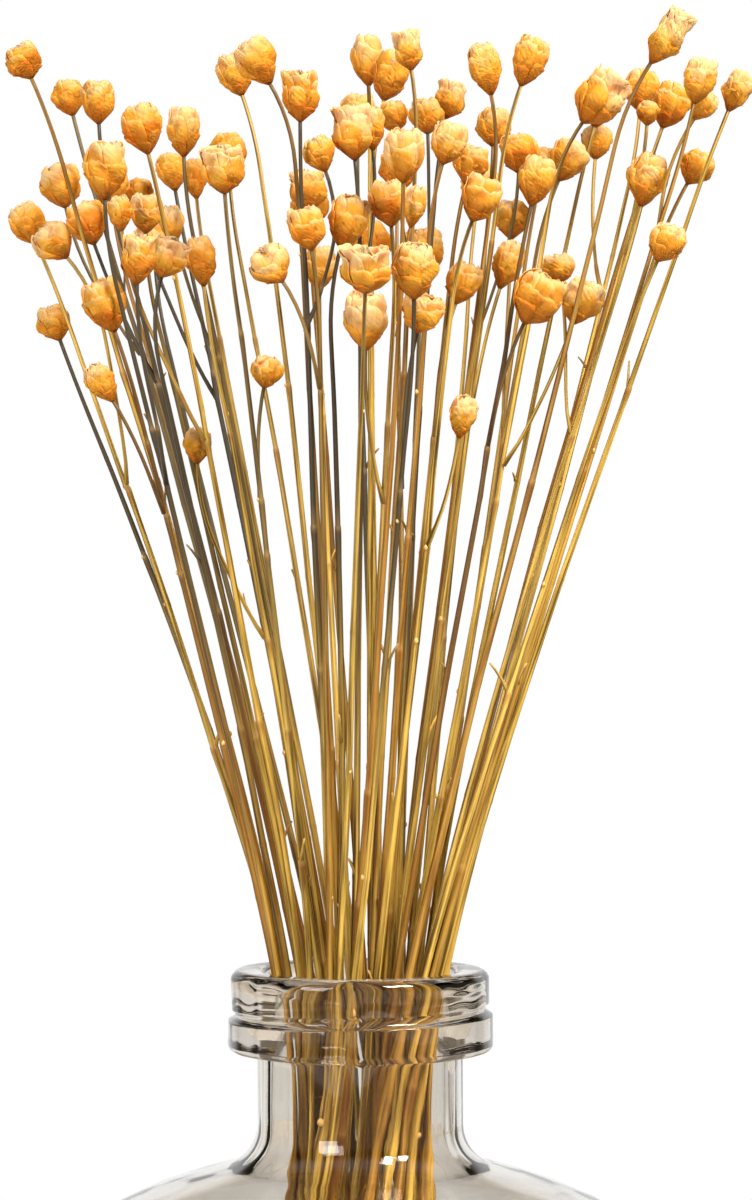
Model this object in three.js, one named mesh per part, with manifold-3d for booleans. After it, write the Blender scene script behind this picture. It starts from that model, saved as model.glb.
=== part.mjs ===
import * as THREE from "three";
import Module from "manifold-3d";

// A round bouquet of dried papery flowers, standing loose in a clear glass vase with a thick collar.
// Millimetres, +Z up. The origin is the centre of the vase's flat base.

// Vase
const VASE_HEIGHT = 190;
const VASE_SIDES = 32;
const GLASS_WALL = 2.8;
const FLOOR_THICKNESS = 9;
const BODY_RADIUS = 82;
const BODY_CORNER = 24;
const SHOULDER_HEIGHT = 100;
const SHOULDER_CORNER = 29.3;
const SHOULDER_CROWN = 115;
const SHOULDER_SLOPES = [27, 16];
const NECK_RADIUS = 27.8;
const NECK_FILLET = 12;
const BORE_RADIUS = 24;
const BORE_FILLET = 13;
const COLLAR_HEIGHT = 22;
const COLLAR_RADIUS = 36;
const LIP_RADIUS = 35;
const LIP_RING_HEIGHT = 11.4;
const GROOVE_DEPTH = 1.2;
const COLLAR_FILLET = 1.5;
const RING_ROUNDING = 2;
const LIP_ROUNDING = 2.6;
const MOUTH_FLARE = [[0, 6.5], [0.8, 3], [2.4, 0.7], [4.2, 0]];

// Bundle of stems
const WAIST_HEIGHT = VASE_HEIGHT - 40;
const WAIST_RADIUS = 18.7;
const SPREAD = 0.0185;
const TWIST = 0.5;
const STAND_OFF = 0.3;
const FOOT_RADIUS = 1.42;
const TIP_RADIUS = 0.58;
const TWIG_TIP_RADIUS = 0.54;
const TWIG_ROOT_SHARE = 0.72;
const TAPER = 1.5;
const NECK_LENGTH = 11;
const STEM_SIDES = 5;
const HEAD_SIDES = 2 * STEM_SIDES;
const STEM_BENDS = [-95, -45, -12, 15, 65];
const TWIG_BENDS = [0, 0.4, 1];
const HEAD_UNEVENNESS = 0.05;

// Forms of a head, from its base up. Each ring is [petal radius, petal height, crease radius,
// crease height] in shares of half the width and of the length, and mouth is where its middle lies.
const ROUND = {
  rings: [
    [0.46, 0.1, 0.42, 0.1],
    [1.02, 0.46, 0.92, 0.44],
    [0.9, 0.78, 0.8, 0.7],
    [0.42, 0.95, 0.48, 1.0],
  ],
  mouth: 0.95,
};
const EGG = {
  rings: [
    [0.44, 0.1, 0.4, 0.1],
    [1.03, 0.42, 0.92, 0.4],
    [0.98, 0.71, 0.86, 0.6],
    [0.78, 0.75, 0.82, 0.72],
    [0.42, 0.93, 0.5, 1.0],
  ],
  mouth: 0.9,
};
const BARREL = {
  rings: [
    [0.48, 0.1, 0.44, 0.1],
    [1.02, 0.4, 0.92, 0.38],
    [1.0, 0.73, 0.86, 0.62],
    [0.82, 0.76, 0.86, 0.74],
    [0.66, 0.92, 0.76, 1.0],
  ],
  mouth: 0.78,
};
const CUP = {
  rings: [
    [0.46, 0.1, 0.42, 0.1],
    [0.94, 0.38, 0.84, 0.36],
    [0.86, 0.64, 0.76, 0.6],
    [0.94, 0.84, 0.82, 0.8],
    [0.9, 0.93, 1.02, 1.0],
  ],
  mouth: 0.66,
};

// The stems, each with its main head and, on most, a second head on a side twig.
// A head is [x, rise, width, length, lean, depth, form]. x and rise over the rim place its middle on
// the upright plane through the axis, as seen by an eye straight in front at EYE_HEIGHT. Lean is in
// degrees to the right. Depth is behind that plane for a main head, and behind its own main stem for
// a second head.
const EYE_DISTANCE = 1040;
const EYE_HEIGHT = VASE_HEIGHT + 100;
const STEMS = [
  [[-91, 246, 10, 10, -24, -12, ROUND]],
  [[-79, 236, 9, 10, -14, 12, EGG], [-81, 212, 10.5, 12, -12, 6, BARREL]],
  [[-71, 235, 9, 12, -2, -5, BARREL], [-74, 202, 10.5, 12, -20, 4, BARREL]],
  [[-59, 228, 10.5, 14, -14, -19, EGG], [-65, 205, 6.5, 10, -6, 6, EGG]],
  [[-48, 227, 8.5, 14, -2, -7, BARREL], [-51, 202, 6.5, 10, -14, 6, EGG]],
  [[-51, 216, 8, 11, -10, 23, EGG], [-60, 210, 7.5, 9, -8, 6, ROUND]],
  [[-45, 214, 6.5, 12, -6, 49, EGG]],
  [[-37, 217, 12.5, 13, -4, -38, CUP], [-25, 162, 8.5, 9, 12, 6, ROUND]],
  [[-69, 217, 11.5, 16, 0, -29, BARREL], [-60, 193, 10, 14, 2, -12, CUP]],
  [[-90, 202, 10, 12, -24, -4, EGG], [-83, 197, 11, 11, -42, -5, EGG]],
  [[-58, 205, 9, 11, 0, -3, BARREL]],
  [[-52, 193, 11.5, 11, 18, -22, CUP]],
  [[-43, 192, 8, 14, -6, -13, EGG], [-44, 142, 8, 10, 0, -8, EGG]],
  [[-69, 180, 11, 15, -20, -26, BARREL], [-70, 159, 7.5, 12, -32, -4, EGG]],
  [[-83, 175, 9, 10, -20, -8, ROUND]],
  [[-34, 242, 8.5, 12, -20, 21, BARREL]],
  [[-28, 246, 11, 14, -32, -13, EGG]],
  [[-16, 237, 10.5, 14, 0, -27, CUP], [-11, 221, 8.5, 10, -22, 6, EGG]],
  [[-14, 211, 10.5, 11, -6, 0, CUP], [-11, 190, 9, 12, 0, 4, BARREL]],
  [[-14, 201, 10, 12, -10, -39, BARREL], [-24, 191, 11.5, 11, -36, -4, EGG]],
  [[-3, 203, 10.5, 15, 16, -52, BARREL]],
  [[2, 246, 9, 14, -2, 19, BARREL], [8, 242, 10, 14, 14, -6, BARREL]],
  [[13, 249, 8, 11, -10, 9, CUP], [9, 231, 8, 9, -4, 7, ROUND]],
  [[-2, 227, 11.5, 15, -6, -39, CUP], [3, 228, 7.5, 12, -6, 6, BARREL]],
  [[12, 221, 10.5, 15, 0, -42, BARREL], [15, 207, 6, 12, 10, 6, EGG]],
  [[8, 208, 11.5, 13, -6, -49, EGG], [2, 176, 11.5, 16, 2, -6, BARREL]],
  [[24, 235, 8.5, 10, 12, 39, CUP], [18, 231, 9, 10, -2, -5, ROUND]],
  [[24, 224, 9.5, 12, 16, -25, BARREL]],
  [[2, 190, 13.5, 13, 2, -68, CUP]],
  [[15, 190, 12.5, 16, 0, -56, ROUND], [17, 178, 11.5, 11, 14, 7, BARREL]],
  [[34, 244, 9, 15, -12, 0, EGG]],
  [[46, 246, 9, 14, 20, -8, BARREL], [40, 191, 8, 14, 18, 5, EGG]],
  [[36, 228, 9, 11, 2, 40, ROUND], [43, 221, 10.5, 11, 2, -5, ROUND]],
  [[30, 218, 9, 11, 14, -12, EGG], [28, 186, 9, 12, 20, -5, BARREL]],
  [[33, 209, 10.5, 13, 22, -37, BARREL], [28, 150, 7.5, 12, 10, -6, EGG]],
  [[48, 214, 10, 14, 12, -20, EGG], [48, 182, 13.5, 15, 26, -9, BARREL]],
  [[56, 219, 10.5, 12, 24, 25, EGG], [41, 203, 9, 11, 2, 8, ROUND]],
  [[65, 236, 13.5, 16, 36, -19, CUP], [60, 181, 10.5, 13, 20, -7, BARREL]],
  [[84, 253, 9, 17, 34, -34, CUP]],
  [[76, 238, 10, 12, 4, 42, EGG], [64, 224, 8, 10, 6, 2, ROUND]],
  [[84, 234, 10, 13, 20, 26, BARREL], [78, 232, 6, 7, 4, -9, ROUND]],
  [[92, 241, 8.5, 13, 12, -16, BARREL], [93, 234, 7, 9, 34, 9, EGG]],
  [[102, 238, 7.5, 12, 22, 0, EGG]],
  [[78, 214, 10.5, 15, 14, 4, EGG], [54, 190, 9, 8, -8, 6, ROUND]],
  [[91, 217, 9, 10, 30, 14, EGG]],
  [[83, 197, 10, 11, 24, -28, EGG]],
  [[-68, 212, 10, 13, -8, 36, EGG]],
  [[-56, 196, 10, 13, -4, 46, BARREL]],
  [[-36, 220, 10, 13, -4, 62, EGG]],
  [[-14, 206, 10, 12, -2, 66, EGG]],
  [[-1, 230, 10, 13, 0, 72, BARREL]],
  [[3, 196, 11, 13, 0, 60, EGG]],
  [[10, 216, 10, 13, 2, 78, ROUND]],
  [[17, 194, 11, 13, 4, 50, BARREL]],
  [[32, 212, 10, 13, 8, 70, EGG]],
  [[49, 216, 10, 13, 12, 60, BARREL]],
  [[65, 234, 10, 13, 16, 46, EGG]],
  [[77, 214, 10, 12, 18, 24, EGG]],
];

// How each stem finds a clear way: seeded tries around the depth given above and a slight bow.
const TRIES = 200;
const DEPTH_PLAY = 15;
const TWIG_DEPTH_PLAY = 5;
const BOW = 6;
const ENOUGH_ROOM = 2.5;
const LEVEL_STEP = 12;
const LAYOUT_SEED = 8227;
const TWIG_DROP = [18, 64];
const TWIG_DROP_PER_REACH = 3;
const TWIG_DROP_PLAY = 0.2;
const TWIG_CURVE = 0.75;

// Room kept for a head: balls along it, each as [share of its length, share of its width], and what
// its neck and its base need beyond the tip of the stem.
const HEAD_BALLS = [[0.3, 0.5], [0.55, 0.54], [0.82, 0.5]];
const NECK_ROOM = 0.2;
const BASE_ROOM = 0.9;

const wasm = await Module();
wasm.setup();

function seededDraws(seed) {
  let state = seed;
  return () => {
    state = (state * 48271) % 2147483647;
    return state / 2147483647;
  };
}

function clamp(value, low, high) {
  return Math.min(high, Math.max(low, value));
}

// Glass vase

function arc(x, z, radius, from, to, steps) {
  const points = [];
  for (let i = 0; i <= steps; i += 1) {
    const angle = THREE.MathUtils.degToRad(from + ((to - from) * i) / steps);
    points.push([x + radius * Math.cos(angle), z + radius * Math.sin(angle)]);
  }
  return points;
}

// One face of the wall from the floor to the foot of the neck, lying inset inside the outer face, with
// its own radius and fillet at the neck.
function wallOutline(inset, floor, neck, fillet) {
  const corner = BODY_CORNER - inset;
  const [steep, gentle] = SHOULDER_SLOPES.map((slope) => 90 - slope);
  const cornerX = BODY_RADIUS - BODY_CORNER;
  const shoulderX = BODY_RADIUS - SHOULDER_CORNER;
  const turn = THREE.MathUtils.degToRad(steep);
  const crownX = shoulderX + (SHOULDER_CORNER - SHOULDER_CROWN) * Math.cos(turn);
  const crownZ = SHOULDER_HEIGHT + (SHOULDER_CORNER - SHOULDER_CROWN) * Math.sin(turn);
  const crown = arc(crownX, crownZ, SHOULDER_CROWN - inset, steep, gentle, 1).at(-1);
  return [
    [0, floor],
    ...arc(cornerX, floor + corner, corner, -90, 0, 3),
    ...arc(shoulderX, SHOULDER_HEIGHT, SHOULDER_CORNER - inset, 0, steep, 3),
    crown,
    ...arc(neck + fillet, filletHeight(crown, gentle, neck, fillet), fillet, 180 + gentle, 180, 2),
  ];
}

// Height of the fillet's centre, where its lower end meets the straight slope below the neck.
function filletHeight([slopeX, slopeZ], gentle, neck, fillet) {
  const turn = THREE.MathUtils.degToRad(gentle);
  const endX = neck + fillet * (1 - Math.cos(turn));
  return slopeZ + (slopeX - endX) / Math.tan(turn) + fillet * Math.sin(turn);
}

// The two stacked rings round the mouth, from their underside up to the lip.
function collarOutline() {
  const bottom = VASE_HEIGHT - COLLAR_HEIGHT;
  const groove = VASE_HEIGHT - LIP_RING_HEIGHT;
  return [
    [NECK_RADIUS, bottom - COLLAR_FILLET],
    [NECK_RADIUS + COLLAR_FILLET, bottom],
    ...arc(COLLAR_RADIUS - RING_ROUNDING, bottom + RING_ROUNDING, RING_ROUNDING, -90, 0, 2),
    [COLLAR_RADIUS, groove - RING_ROUNDING],
    [LIP_RADIUS - GROOVE_DEPTH, groove],
    [LIP_RADIUS, groove + RING_ROUNDING],
    ...arc(LIP_RADIUS - LIP_ROUNDING, VASE_HEIGHT - LIP_ROUNDING, LIP_ROUNDING, 0, 90, 2),
  ];
}

function vaseOutline() {
  const outside = wallOutline(0, 0, NECK_RADIUS, NECK_FILLET);
  const mouth = MOUTH_FLARE.map(([out, drop]) => [BORE_RADIUS + out, VASE_HEIGHT - drop]).reverse();
  const inside = wallOutline(GLASS_WALL, FLOOR_THICKNESS, BORE_RADIUS, BORE_FILLET).reverse();
  return [...outside, ...collarOutline(), ...mouth, ...inside];
}

function vase() {
  const outline = vaseOutline().map(([x, z]) => new THREE.Vector2(x, z));
  const geometry = new THREE.LatheGeometry(outline, VASE_SIDES);
  geometry.rotateX(Math.PI / 2);
  const glass = new THREE.MeshStandardMaterial({
    color: 0xe3e8e6,
    roughness: 0.05,
    metalness: 0,
    transparent: true,
    opacity: 0.35,
  });
  const mesh = new THREE.Mesh(geometry, glass);
  mesh.name = "vase";
  return mesh;
}

// Layout of the stems: each stands on the vase's floor, passes the waist of the bundle in the neck at
// its own spot, and spreads above and below it, so that no two stems meet.

function spreadAt(z) {
  return Math.hypot(1, SPREAD * (z - WAIST_HEIGHT));
}

function turnAt(z) {
  return TWIST * Math.atan(SPREAD * (z - WAIST_HEIGHT));
}

function turned([x, y], angle, scale) {
  const cos = Math.cos(angle) * scale;
  const sin = Math.sin(angle) * scale;
  return [x * cos - y * sin, x * sin + y * cos];
}

// Places a head by its middle, and finds its axis, its base and the neck where its stem straightens.
function placedHead([x, rise, width, length, lean, , form], depth) {
  const nearness = 1 + depth / EYE_DISTANCE;
  const height = EYE_HEIGHT + (VASE_HEIGHT + rise - EYE_HEIGHT) * nearness;
  const middle = new THREE.Vector3(x * nearness, depth, height);
  const tilt = THREE.MathUtils.degToRad(lean);
  const outward = depth / (height - WAIST_HEIGHT);
  const axis = new THREE.Vector3(Math.sin(tilt), outward, Math.cos(tilt)).normalize();
  const base = middle.clone().addScaledVector(axis, -length / 2);
  const neck = base.clone().addScaledVector(axis, -NECK_LENGTH);
  return { axis, base, neck, width: width * nearness, length: length * nearness, form };
}

// Balls that stand for a head and its neck when room is measured.
function ballsOf({ axis, base, width, length }) {
  const along = (distance, radius) => {
    const point = base.clone().addScaledVector(axis, distance);
    return [point.x, point.y, point.z, radius];
  };
  return [
    along(-NECK_LENGTH / 2, TIP_RADIUS + NECK_ROOM),
    along(0, TIP_RADIUS + BASE_ROOM),
    ...HEAD_BALLS.map(([rise, radius]) => along(rise * length, radius * width)),
  ];
}

// Where a shoot's solid runs at a height, straight between two of its bends.
function betweenBends({ bends, placeAt }, z) {
  const next = bends.findIndex((bend) => bend > z);
  const [low, high] = [bends[next - 1], bends[next]];
  const [lowX, lowY] = placeAt(low);
  const [highX, highY] = placeAt(high);
  const share = (z - low) / (high - low);
  return [lowX + (highX - lowX) * share, lowY + (highY - lowY) * share];
}

// The places of a shoot at fixed levels. A level below its foot or over its neck holds null.
function trackOf(shoot) {
  const track = [];
  for (let z = FLOOR_THICKNESS; z < shoot.head.neck.z + LEVEL_STEP; z += LEVEL_STEP) {
    const within = z > shoot.bends[0] && z < shoot.head.neck.z;
    track.push(within ? [...betweenBends(shoot, z), shoot.radiusAt(z)] : null);
  }
  return track;
}

// The place and radius at a height between two levels of a track, or null outside it.
function betweenLevels(track, z) {
  const step = (z - FLOOR_THICKNESS) / LEVEL_STEP;
  const index = Math.floor(step);
  const low = track[index];
  const high = track[index + 1];
  if (!low || !high) {
    return null;
  }
  return low.map((value, i) => value + (high[i] - value) * (step - index));
}

function roomBetweenTracks(one, other) {
  let room = Infinity;
  for (let i = 0; i < Math.min(one.length, other.length); i += 1) {
    if (one[i] && other[i]) {
      const apart = Math.hypot(one[i][0] - other[i][0], one[i][1] - other[i][1]);
      room = Math.min(room, apart - one[i][2] - other[i][2]);
    }
  }
  return room;
}

function roomBesideTrack(balls, track) {
  let room = Infinity;
  for (const [x, y, z, radius] of balls) {
    const stem = betweenLevels(track, z);
    if (stem) {
      room = Math.min(room, Math.hypot(x - stem[0], y - stem[1]) - stem[2] - radius);
    }
  }
  return room;
}

function roomBetweenBalls(one, other) {
  let room = Infinity;
  for (const [x, y, z, radius] of one) {
    for (const [otherX, otherY, otherZ, otherRadius] of other) {
      const apart = Math.hypot(x - otherX, y - otherY, z - otherZ);
      room = Math.min(room, apart - radius - otherRadius);
    }
  }
  return room;
}

function roomBetween(one, other) {
  return Math.min(
    one.stem === other.stem ? Infinity : roomBetweenTracks(one.track, other.track),
    roomBesideTrack(one.balls, other.track),
    roomBesideTrack(other.balls, one.track),
    roomBetweenBalls(one.balls, other.balls),
  );
}

function mainShoot(row, stem, draw) {
  const head = placedHead(row, row[5] + DEPTH_PLAY * (2 * draw() - 1));
  const { neck } = head;
  const bowSize = BOW * Math.sqrt(draw());
  const bowAngle = 2 * Math.PI * draw();
  const aim = [neck.x - bowSize * Math.cos(bowAngle), neck.y - bowSize * Math.sin(bowAngle)];
  let spot = turned(aim, -turnAt(neck.z), 1 / spreadAt(neck.z));
  const reach = Math.hypot(...spot);
  spot = turned(spot, 0, Math.min(1, WAIST_RADIUS / reach));
  const straight = turned(spot, turnAt(neck.z), spreadAt(neck.z));
  const bow = [neck.x - straight[0], neck.y - straight[1]];
  const bottom = FLOOR_THICKNESS + STAND_OFF;
  const placeAt = (z) => {
    const [x, y] = turned(spot, turnAt(z), spreadAt(z));
    const bend = Math.max(0, (z - WAIST_HEIGHT) / (neck.z - WAIST_HEIGHT)) ** 2;
    return [x + bow[0] * bend, y + bow[1] * bend];
  };
  const radiusAt = (z) => {
    const share = clamp((z - bottom) / (neck.z - bottom), 0, 1);
    return FOOT_RADIUS + (TIP_RADIUS - FOOT_RADIUS) * share ** TAPER;
  };
  const bends = [bottom, ...STEM_BENDS.map((rise) => VASE_HEIGHT + rise), neck.z];
  return { head, stem, bends, placeAt, radiusAt };
}

// A side twig leaves its main stem at a joint below its head, and draws away from it as it rises.
function twigShoot(row, main, draw) {
  const height = VASE_HEIGHT + row[1];
  const offset = row[5] + TWIG_DEPTH_PLAY * (2 * draw() - 1);
  const head = placedHead(row, main.placeAt(height)[1] + offset);
  const { neck } = head;
  const beside = main.placeAt(neck.z);
  const reach = [neck.x - beside[0], neck.y - beside[1]];
  const play = 1 + TWIG_DROP_PLAY * (2 * draw() - 1);
  const bottom = neck.z - clamp(TWIG_DROP_PER_REACH * Math.hypot(...reach) * play, ...TWIG_DROP);
  const rootRadius = TWIG_ROOT_SHARE * main.radiusAt(bottom);
  const placeAt = (z) => {
    const [x, y] = main.placeAt(z);
    const away = clamp((z - bottom) / (neck.z - bottom), 0, 1) ** TWIG_CURVE;
    return [x + reach[0] * away, y + reach[1] * away];
  };
  const radiusAt = (z) => {
    const share = clamp((z - bottom) / (neck.z - bottom), 0, 1);
    return rootRadius + (TWIG_TIP_RADIUS - rootRadius) * share;
  };
  const bends = TWIG_BENDS.map((share) => bottom + share * (neck.z - bottom));
  return { head, stem: main.stem, bends, placeAt, radiusAt };
}

// Keeps the try with the most room around it.
function clearest(makeShoot, placed) {
  let best = null;
  for (let i = 0; i < TRIES; i += 1) {
    const shoot = makeShoot();
    shoot.track = trackOf(shoot);
    shoot.balls = ballsOf(shoot.head);
    const rooms = placed.map((other) => roomBetween(shoot, other));
    shoot.room = Math.min(ENOUGH_ROOM, ...rooms);
    if (!best || shoot.room > best.room) {
      best = shoot;
    }
  }
  placed.push(best);
  return best;
}

function layBouquet() {
  const draw = seededDraws(LAYOUT_SEED);
  const placed = [];
  const mains = STEMS.map(([row], stem) => clearest(() => mainShoot(row, stem, draw), placed));
  return STEMS.map(([, row], stem) => {
    const main = mains[stem];
    return row ? [main, clearest(() => twigShoot(row, main, draw), placed)] : [main];
  });
}

// Solids of the stems and heads

// A ring of corners round a point, square to a direction, and turning left round it.
function ringAround(centre, direction, count, spin, cornerAt) {
  const side = new THREE.Vector3(1, 0, 0).addScaledVector(direction, -direction.x).normalize();
  const front = direction.clone().cross(side);
  return Array.from({ length: count }, (_, i) => {
    const angle = spin + (2 * Math.PI * i) / count;
    const [radius, rise] = cornerAt(i);
    return centre
      .clone()
      .addScaledVector(side, radius * Math.cos(angle))
      .addScaledVector(front, radius * Math.sin(angle))
      .addScaledVector(direction, rise);
  });
}

function stemRing(centre, direction, spin, radius) {
  return ringAround(centre, direction, STEM_SIDES, spin, () => [radius, 0]);
}

function headingAt(shoot, z) {
  const [x0, y0] = shoot.placeAt(z - 1);
  const [x1, y1] = shoot.placeAt(z + 1);
  return new THREE.Vector3(x1 - x0, y1 - y0, 2).normalize();
}

// The rings of a stem, at its bends, of which the last is its neck, and at the base of its head.
function stemRings(shoot, spin) {
  const { neck, axis, base } = shoot.head;
  const rings = shoot.bends.slice(0, -1).map((z) => {
    const [x, y] = shoot.placeAt(z);
    const flat = z === FLOOR_THICKNESS + STAND_OFF;
    const heading = flat ? new THREE.Vector3(0, 0, 1) : headingAt(shoot, z);
    return stemRing(new THREE.Vector3(x, y, z), heading, spin, shoot.radiusAt(z));
  });
  const nod = headingAt(shoot, neck.z - 1).add(axis).normalize();
  const radius = shoot.radiusAt(neck.z);
  rings.push(stemRing(neck, nod, spin, radius), stemRing(base, axis, spin, radius));
  return rings;
}

// Petals stand out at the even corners of each ring, with creases between them. Above the tips of
// the outer petals the surface steps in, and the inner petals rise from the creases.
function headRings({ base, axis, width, length, form }, spin, draw) {
  return form.rings.map(([petalRadius, petalHeight, creaseRadius, creaseHeight]) =>
    ringAround(base, axis, HEAD_SIDES, spin, (i) => {
      const radius = i % 2 ? creaseRadius : petalRadius;
      const height = i % 2 ? creaseHeight : petalHeight;
      const wobble = 1 + HEAD_UNEVENNESS * (2 * draw() - 1);
      const lift = (HEAD_UNEVENNESS / 2) * (2 * draw() - 1);
      return [radius * wobble * (width / 2), (height + lift) * length];
    }),
  );
}

// Joins rings into a closed solid. A ring of twice the corners opens out between its neighbour's.
function loft(rings, tip) {
  const points = [];
  const faces = [];
  const starts = rings.map((ring) => points.push(...ring) - ring.length);
  const last = starts.at(-1);
  for (let i = 2; i < rings[0].length; i += 1) {
    faces.push([0, i, i - 1]);
  }
  rings.slice(1).forEach((upper, index) => {
    const [low, high] = [starts[index], starts[index + 1]];
    const count = rings[index].length;
    const widens = upper.length > count;
    for (let i = 0; i < count; i += 1) {
      const next = (i + 1) % count;
      if (widens) {
        const [left, middle, right] = [2 * i, 2 * i + 1, (2 * i + 2) % upper.length];
        faces.push([low + i, low + next, high + middle], [low + i, high + middle, high + left]);
        faces.push([low + next, high + right, high + middle]);
      } else {
        faces.push([low + i, low + next, high + next], [low + i, high + next, high + i]);
      }
    }
  });
  points.push(tip);
  for (let i = 0; i < rings.at(-1).length; i += 1) {
    faces.push([last + i, last + ((i + 1) % rings.at(-1).length), points.length - 1]);
  }
  return { points, faces };
}

function shootSolid(shoot, draw) {
  const { base, axis, length, form } = shoot.head;
  const spin = 2 * Math.PI * draw();
  const rings = [...stemRings(shoot, spin), ...headRings(shoot.head, spin, draw)];
  const tip = base.clone().addScaledVector(axis, form.mouth * length);
  return loft(rings, tip);
}

function toManifold({ points, faces }) {
  const vertProperties = Float32Array.from(points.flatMap((point) => point.toArray()));
  const triVerts = Uint32Array.from(faces.flat());
  return new wasm.Manifold(new wasm.Mesh({ numProp: 3, vertProperties, triVerts }));
}

function toGeometry(manifold) {
  const { vertProperties, triVerts } = manifold.getMesh();
  const geometry = new THREE.BufferGeometry();
  geometry.setAttribute("position", new THREE.BufferAttribute(Float32Array.from(vertProperties), 3));
  geometry.setIndex(Array.from(triVerts));
  geometry.computeVertexNormals();
  return geometry;
}

function flowerStem([main, twig], index) {
  const draw = seededDraws(LAYOUT_SEED + index + 1);
  let solid = toManifold(shootSolid(main, draw));
  if (twig) {
    solid = solid.add(toManifold(shootSolid(twig, draw)));
  }
  const papery = new THREE.MeshStandardMaterial({ color: 0xe0983c, roughness: 0.8, metalness: 0 });
  const mesh = new THREE.Mesh(toGeometry(solid), papery);
  mesh.name = `flower_stem_${String(index + 1).padStart(2, "0")}`;
  return mesh;
}

const bouquet = new THREE.Group();
bouquet.add(vase(), ...layBouquet().map(flowerStem));

export default bouquet;
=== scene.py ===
"""A round bouquet of dried papery daisies on thin bare stems, in a clear glass vase with a thick collar.

Each stem of the frame is replaced by a ribbed woody stalk with knots and broken twigs, whose heads are built
of layered papery bracts. Lengths are in millimetres, and turn to metres where a mesh or a lamp is made.
"""

from __future__ import annotations

import logging
import math
from collections.abc import Sequence
from dataclasses import dataclass, field
from enum import Enum
from functools import cache
from typing import ClassVar

import bpy
import numpy as np
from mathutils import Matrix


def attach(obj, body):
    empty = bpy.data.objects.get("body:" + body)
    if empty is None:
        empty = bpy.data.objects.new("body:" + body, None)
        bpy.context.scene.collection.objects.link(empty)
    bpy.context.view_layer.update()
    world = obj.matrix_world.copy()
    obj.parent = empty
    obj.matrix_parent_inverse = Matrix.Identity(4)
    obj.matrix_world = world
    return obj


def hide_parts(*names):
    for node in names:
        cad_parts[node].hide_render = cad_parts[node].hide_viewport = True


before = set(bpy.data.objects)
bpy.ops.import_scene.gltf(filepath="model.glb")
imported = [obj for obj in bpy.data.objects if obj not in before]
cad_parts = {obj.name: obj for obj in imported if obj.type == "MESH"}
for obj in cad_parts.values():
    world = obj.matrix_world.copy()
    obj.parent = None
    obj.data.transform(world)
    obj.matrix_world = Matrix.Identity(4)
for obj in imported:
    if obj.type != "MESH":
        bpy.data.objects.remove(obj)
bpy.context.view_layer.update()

log = logging.getLogger("vase_of_dried_daisies")

METRE = 0.001
BODY = "root"
UP = np.array([0.0, 0.0, 1.0])
FULL_TURN = 2 * math.pi
LAYOUT_SEED = 8227
DETAIL_SEED = 9 * LAYOUT_SEED
DETAIL_SEED_STEP = 31
# Marks set neighbouring stalks and heads apart in the noise of their finish.
MARKS = 40
# Bounds of a wave's phase and of a stalk's spin, in radians.
PHASES = (0.0, 6.0)


class Draws:
    """Seeded random numbers, the same on every computer."""

    MULTIPLIER = 48271
    MODULUS = 2147483647

    def __init__(self, seed: int) -> None:
        """Starts the draws at a seed."""
        self.state = seed

    def share(self) -> float:
        """Draws a number between 0 and 1."""
        self.state = self.state * self.MULTIPLIER % self.MODULUS
        return self.state / self.MODULUS

    def within(self, low: float, high: float) -> float:
        """Draws a number between two bounds."""
        return low + (high - low) * self.share()

    def either_way(self, play: float) -> float:
        """Draws a number between minus and plus a play."""
        return play * (2 * self.share() - 1)

    def skip(self, count: int) -> None:
        """Leaves out a number of draws."""
        for _ in range(count):
            self.share()


def unit(vector: np.ndarray) -> np.ndarray:
    """Scales a vector, or each row of an array of them, to a length of one."""
    return vector / np.linalg.norm(vector, axis=-1, keepdims=True)


def ease(value: np.ndarray, low: float, high: float) -> np.ndarray:
    """Rises smoothly from 0 at the low bound to 1 at the high one."""
    share = np.clip((value - low) / (high - low), 0.0, 1.0)
    return share * share * (3 - 2 * share)


def smooth_line(points: np.ndarray, steps: int) -> np.ndarray:
    """Draws a smooth line through points.

    Args:
        points: One row for each point.
        steps: How many steps the line takes between two points.

    Returns:
        The points of the line, one a row.
    """
    padded = np.vstack([2 * points[0] - points[1], points, 2 * points[-1] - points[-2]])
    t = np.linspace(0, 1, steps, endpoint=False)[:, None]
    spans = []
    for a, b, c, d in zip(padded, padded[1:], padded[2:], padded[3:]):
        spans.append(0.5 * (
            2 * b + (c - a) * t
            + (2 * a - 5 * b + 4 * c - d) * t**2
            + (3 * b - a - 3 * c + d) * t**3
        ))
    return np.vstack([*spans, points[-1:]])


# Bouquet: the same sizes and the same rule for the layout as in the frame.


class Form(Enum):
    """Shape of a closed head, seen from the side."""

    ROUND = "round"
    EGG = "egg"
    BARREL = "barrel"
    CUP = "cup"


ROUND = Form.ROUND
EGG = Form.EGG
BARREL = Form.BARREL
CUP = Form.CUP

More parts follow.
